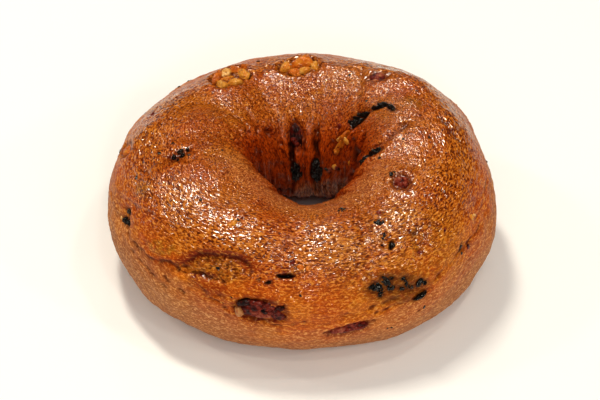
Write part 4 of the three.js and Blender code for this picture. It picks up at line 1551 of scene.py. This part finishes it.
CRANBERRY_BITS = Bits("cranberry_bits", CRANBERRY_SKIN, (
    (357, 55, 2.2, 0.4), (36, 91, 2.1, 0.6), (40.6, 44, 1.7, 0.45), (58.1, 21, 2, 0.45),
    (52.1, 48, 1.4, 0.4), (145.2, 139, 2.2, 0.45), (134.8, 169, 2.4, 0.3), (57.4, 99.4, 1.6, 0.2),
    (293.4, 30.6, 1.8, 0.5), (351.6, 14.6, 1.4, 0.3),
    (251.3, 66.5, 2, 0.4), (100.4, 96, 1.4, 0.4)),
    drawn=8, seed=501)


@dataclass(frozen=True)
class Studio:
    """Pale floor, soft light and the camera. Lengths are in millimetres.

    The lens is given as its focal length in pixels of the picture's width. The sparks are small
    lamps, each a direction and its watts, that the washed crust breaks into glints.
    """

    target: tuple[float, float, float] = (0.3, 0.42, 19)
    aim_shift: tuple[float, float] = (-0.7, -1.14)
    elevation: float = 42.0
    distance: float = 700.0
    lens_pixels: float = 2407.0
    floor_size: float = 6000.0
    floor_gap: float = 0.05
    key_way: tuple[float, float, float] = (-0.2, 0.3, 0.92)
    key_distance: float = 900.0
    key_size: tuple[float, float] = (100, 220)
    key_power: float = 3.85
    lamp_tint: str = "#FFF8E8"
    fill_tint: str = "#FFFFFF"
    sparks: tuple[tuple[tuple[float, float, float], float], ...] = (
        ((-0.7, 0.12, 0.7), 0.5), ((0.06, -0.82, 0.56), 0.8), ((0.36, 0.02, 0.93), 0.65),
        ((-0.04, 0.75, 0.65), 0.2), ((0.72, -0.38, 0.58), 0.5), ((0.14, -0.4, 0.9), 0.5),
        ((-0.84, 0.36, 0.4), 0.35))
    spark_size: float = 70.0
    spark_distance: float = 900.0
    fill_way: tuple[float, float, float] = (0.15, -0.86, 0.48)
    fill_distance: float = 1200.0
    fill_size: tuple[float, float] = (1200, 1200)
    fill_power: float = 5.25
    world: float = 0.22

    def camera(self) -> bpy.types.Object:
        """Camera at the photograph's view, aimed a little beside the target to frame it alike.

        Returns:
            The camera, which is made the scene's own.
        """
        data = bpy.data.cameras.new("camera")
        data.sensor_width = 36.0
        data.lens = self.lens_pixels / IMAGE_WIDTH * data.sensor_width
        camera = bpy.data.objects.new("camera", data)
        rise = np.radians(self.elevation)
        back = np.array([0, -np.cos(rise), np.sin(rise)])
        up = np.array([0, np.sin(rise), np.cos(rise)])
        right = np.array([1, 0, 0])
        aim = np.array(self.target) + self.aim_shift[0] * right + self.aim_shift[1] * up
        camera.location = Vector((aim + self.distance * back) * MM)
        camera.rotation_euler = Vector(back).to_track_quat("Z", "Y").to_euler()
        bpy.context.scene.collection.objects.link(camera)
        bpy.context.scene.camera = camera
        return camera

    def floor(self) -> bpy.types.Object:
        """Wide white floor that the bagel stands on, a twentieth of a millimetre below it.

        Returns:
            The floor.
        """
        material, tree, surface = new_material("white_paper")
        shader = add_node(tree, "BsdfPrincipled", None,
                          {"Base Color": colour("#F4F3F1"), "Roughness": 0.9})
        tree.links.new(shader.outputs["BSDF"], surface)
        half = self.floor_size / 2
        level = -self.floor_gap
        corners = np.array([[-half, -half, level], [half, -half, level],
                            [half, half, level], [-half, half, level]])
        floor = make_object("floor", corners, np.array([[0, 1, 2, 3]]), material)
        return floor

    def softbox(self, name: str, way: tuple[float, float, float], distance: float,
                size: tuple[float, float], watts: float, tint: str) -> bpy.types.Object:
        """Oblong lamp that looks at the target from a direction.

        Args:
            name: Name of the lamp.
            way: Direction from the target to the lamp.
            distance: Millimetres from the target.
            size: Width and height in millimetres.
            watts: Power.
            tint: Colour of the light.

        Returns:
            The lamp.
        """
        data = bpy.data.lights.new(name, "AREA")
        data.shape = "RECTANGLE"
        data.size, data.size_y = size[0] * MM, size[1] * MM
        data.energy = watts
        data.color = colour(tint)[:3]
        lamp = bpy.data.objects.new(name, data)
        towards = Vector(way).normalized()
        lamp.location = Vector(self.target) * MM + towards * distance * MM
        lamp.rotation_euler = towards.to_track_quat("Z", "Y").to_euler()
        bpy.context.scene.collection.objects.link(lamp)
        return lamp

    def light(self) -> None:
        """Soft white room, a softbox overhead a little to the left, small lamps and a wide fill.

        The room and the fill don't show in the gloss, so that only the lamps with edges do.
        """
        world = bpy.data.worlds.new("room")
        world.use_nodes = True
        background = world.node_tree.nodes["Background"]
        background.inputs["Color"].default_value = colour("#FFFFFF")
        background.inputs["Strength"].default_value = self.world
        bpy.context.scene.world = world
        world.cycles_visibility.glossy = False
        self.softbox("key", self.key_way, self.key_distance, self.key_size, self.key_power,
                     self.lamp_tint)
        for way, watts in self.sparks:
            self.softbox("spark", way, self.spark_distance, (self.spark_size, self.spark_size),
                         watts, self.lamp_tint)
        fill = self.softbox("fill", self.fill_way, self.fill_distance, self.fill_size,
                            self.fill_power, self.fill_tint)
        fill.visible_glossy = False
        bpy.context.scene.view_settings.view_transform = "Standard"
        bpy.context.scene.view_settings.look = "Medium High Contrast"


def main() -> None:
    """Builds the studio, the crust and every piece in it, and reports each one."""
    logging.basicConfig(level=logging.INFO, format="%(name)s: %(message)s")
    limits = Limits(*(np.array(corner) / MM for corner in CAD_BOX))
    studio = Studio()
    studio.camera()
    studio.floor()
    studio.light()
    form = RingForm()
    crust = Crust(form)
    dough = crust.build(limits, CrustFinish().material())
    LOG.info("%s: %d faces", dough.name, len(dough.data.polygons))
    finishes = {finish.name: finish.material()
                for finish in (CRANBERRY_SKIN, WALNUT_KERNEL, RAISIN_SKIN)}
    for fruit in PIECES:
        piece = fruit.build(form, limits, finishes[fruit.finish.name])
        LOG.info("%s: %d faces", piece.name, len(piece.data.polygons))
    for bits in (RAISIN_BITS, WALNUT_BITS, CRANBERRY_BITS):
        piece = bits.build(crust, limits, finishes[bits.finish.name])
        LOG.info("%s: %d faces", piece.name, len(piece.data.polygons))
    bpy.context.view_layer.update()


if __name__ == "__main__":
    main()
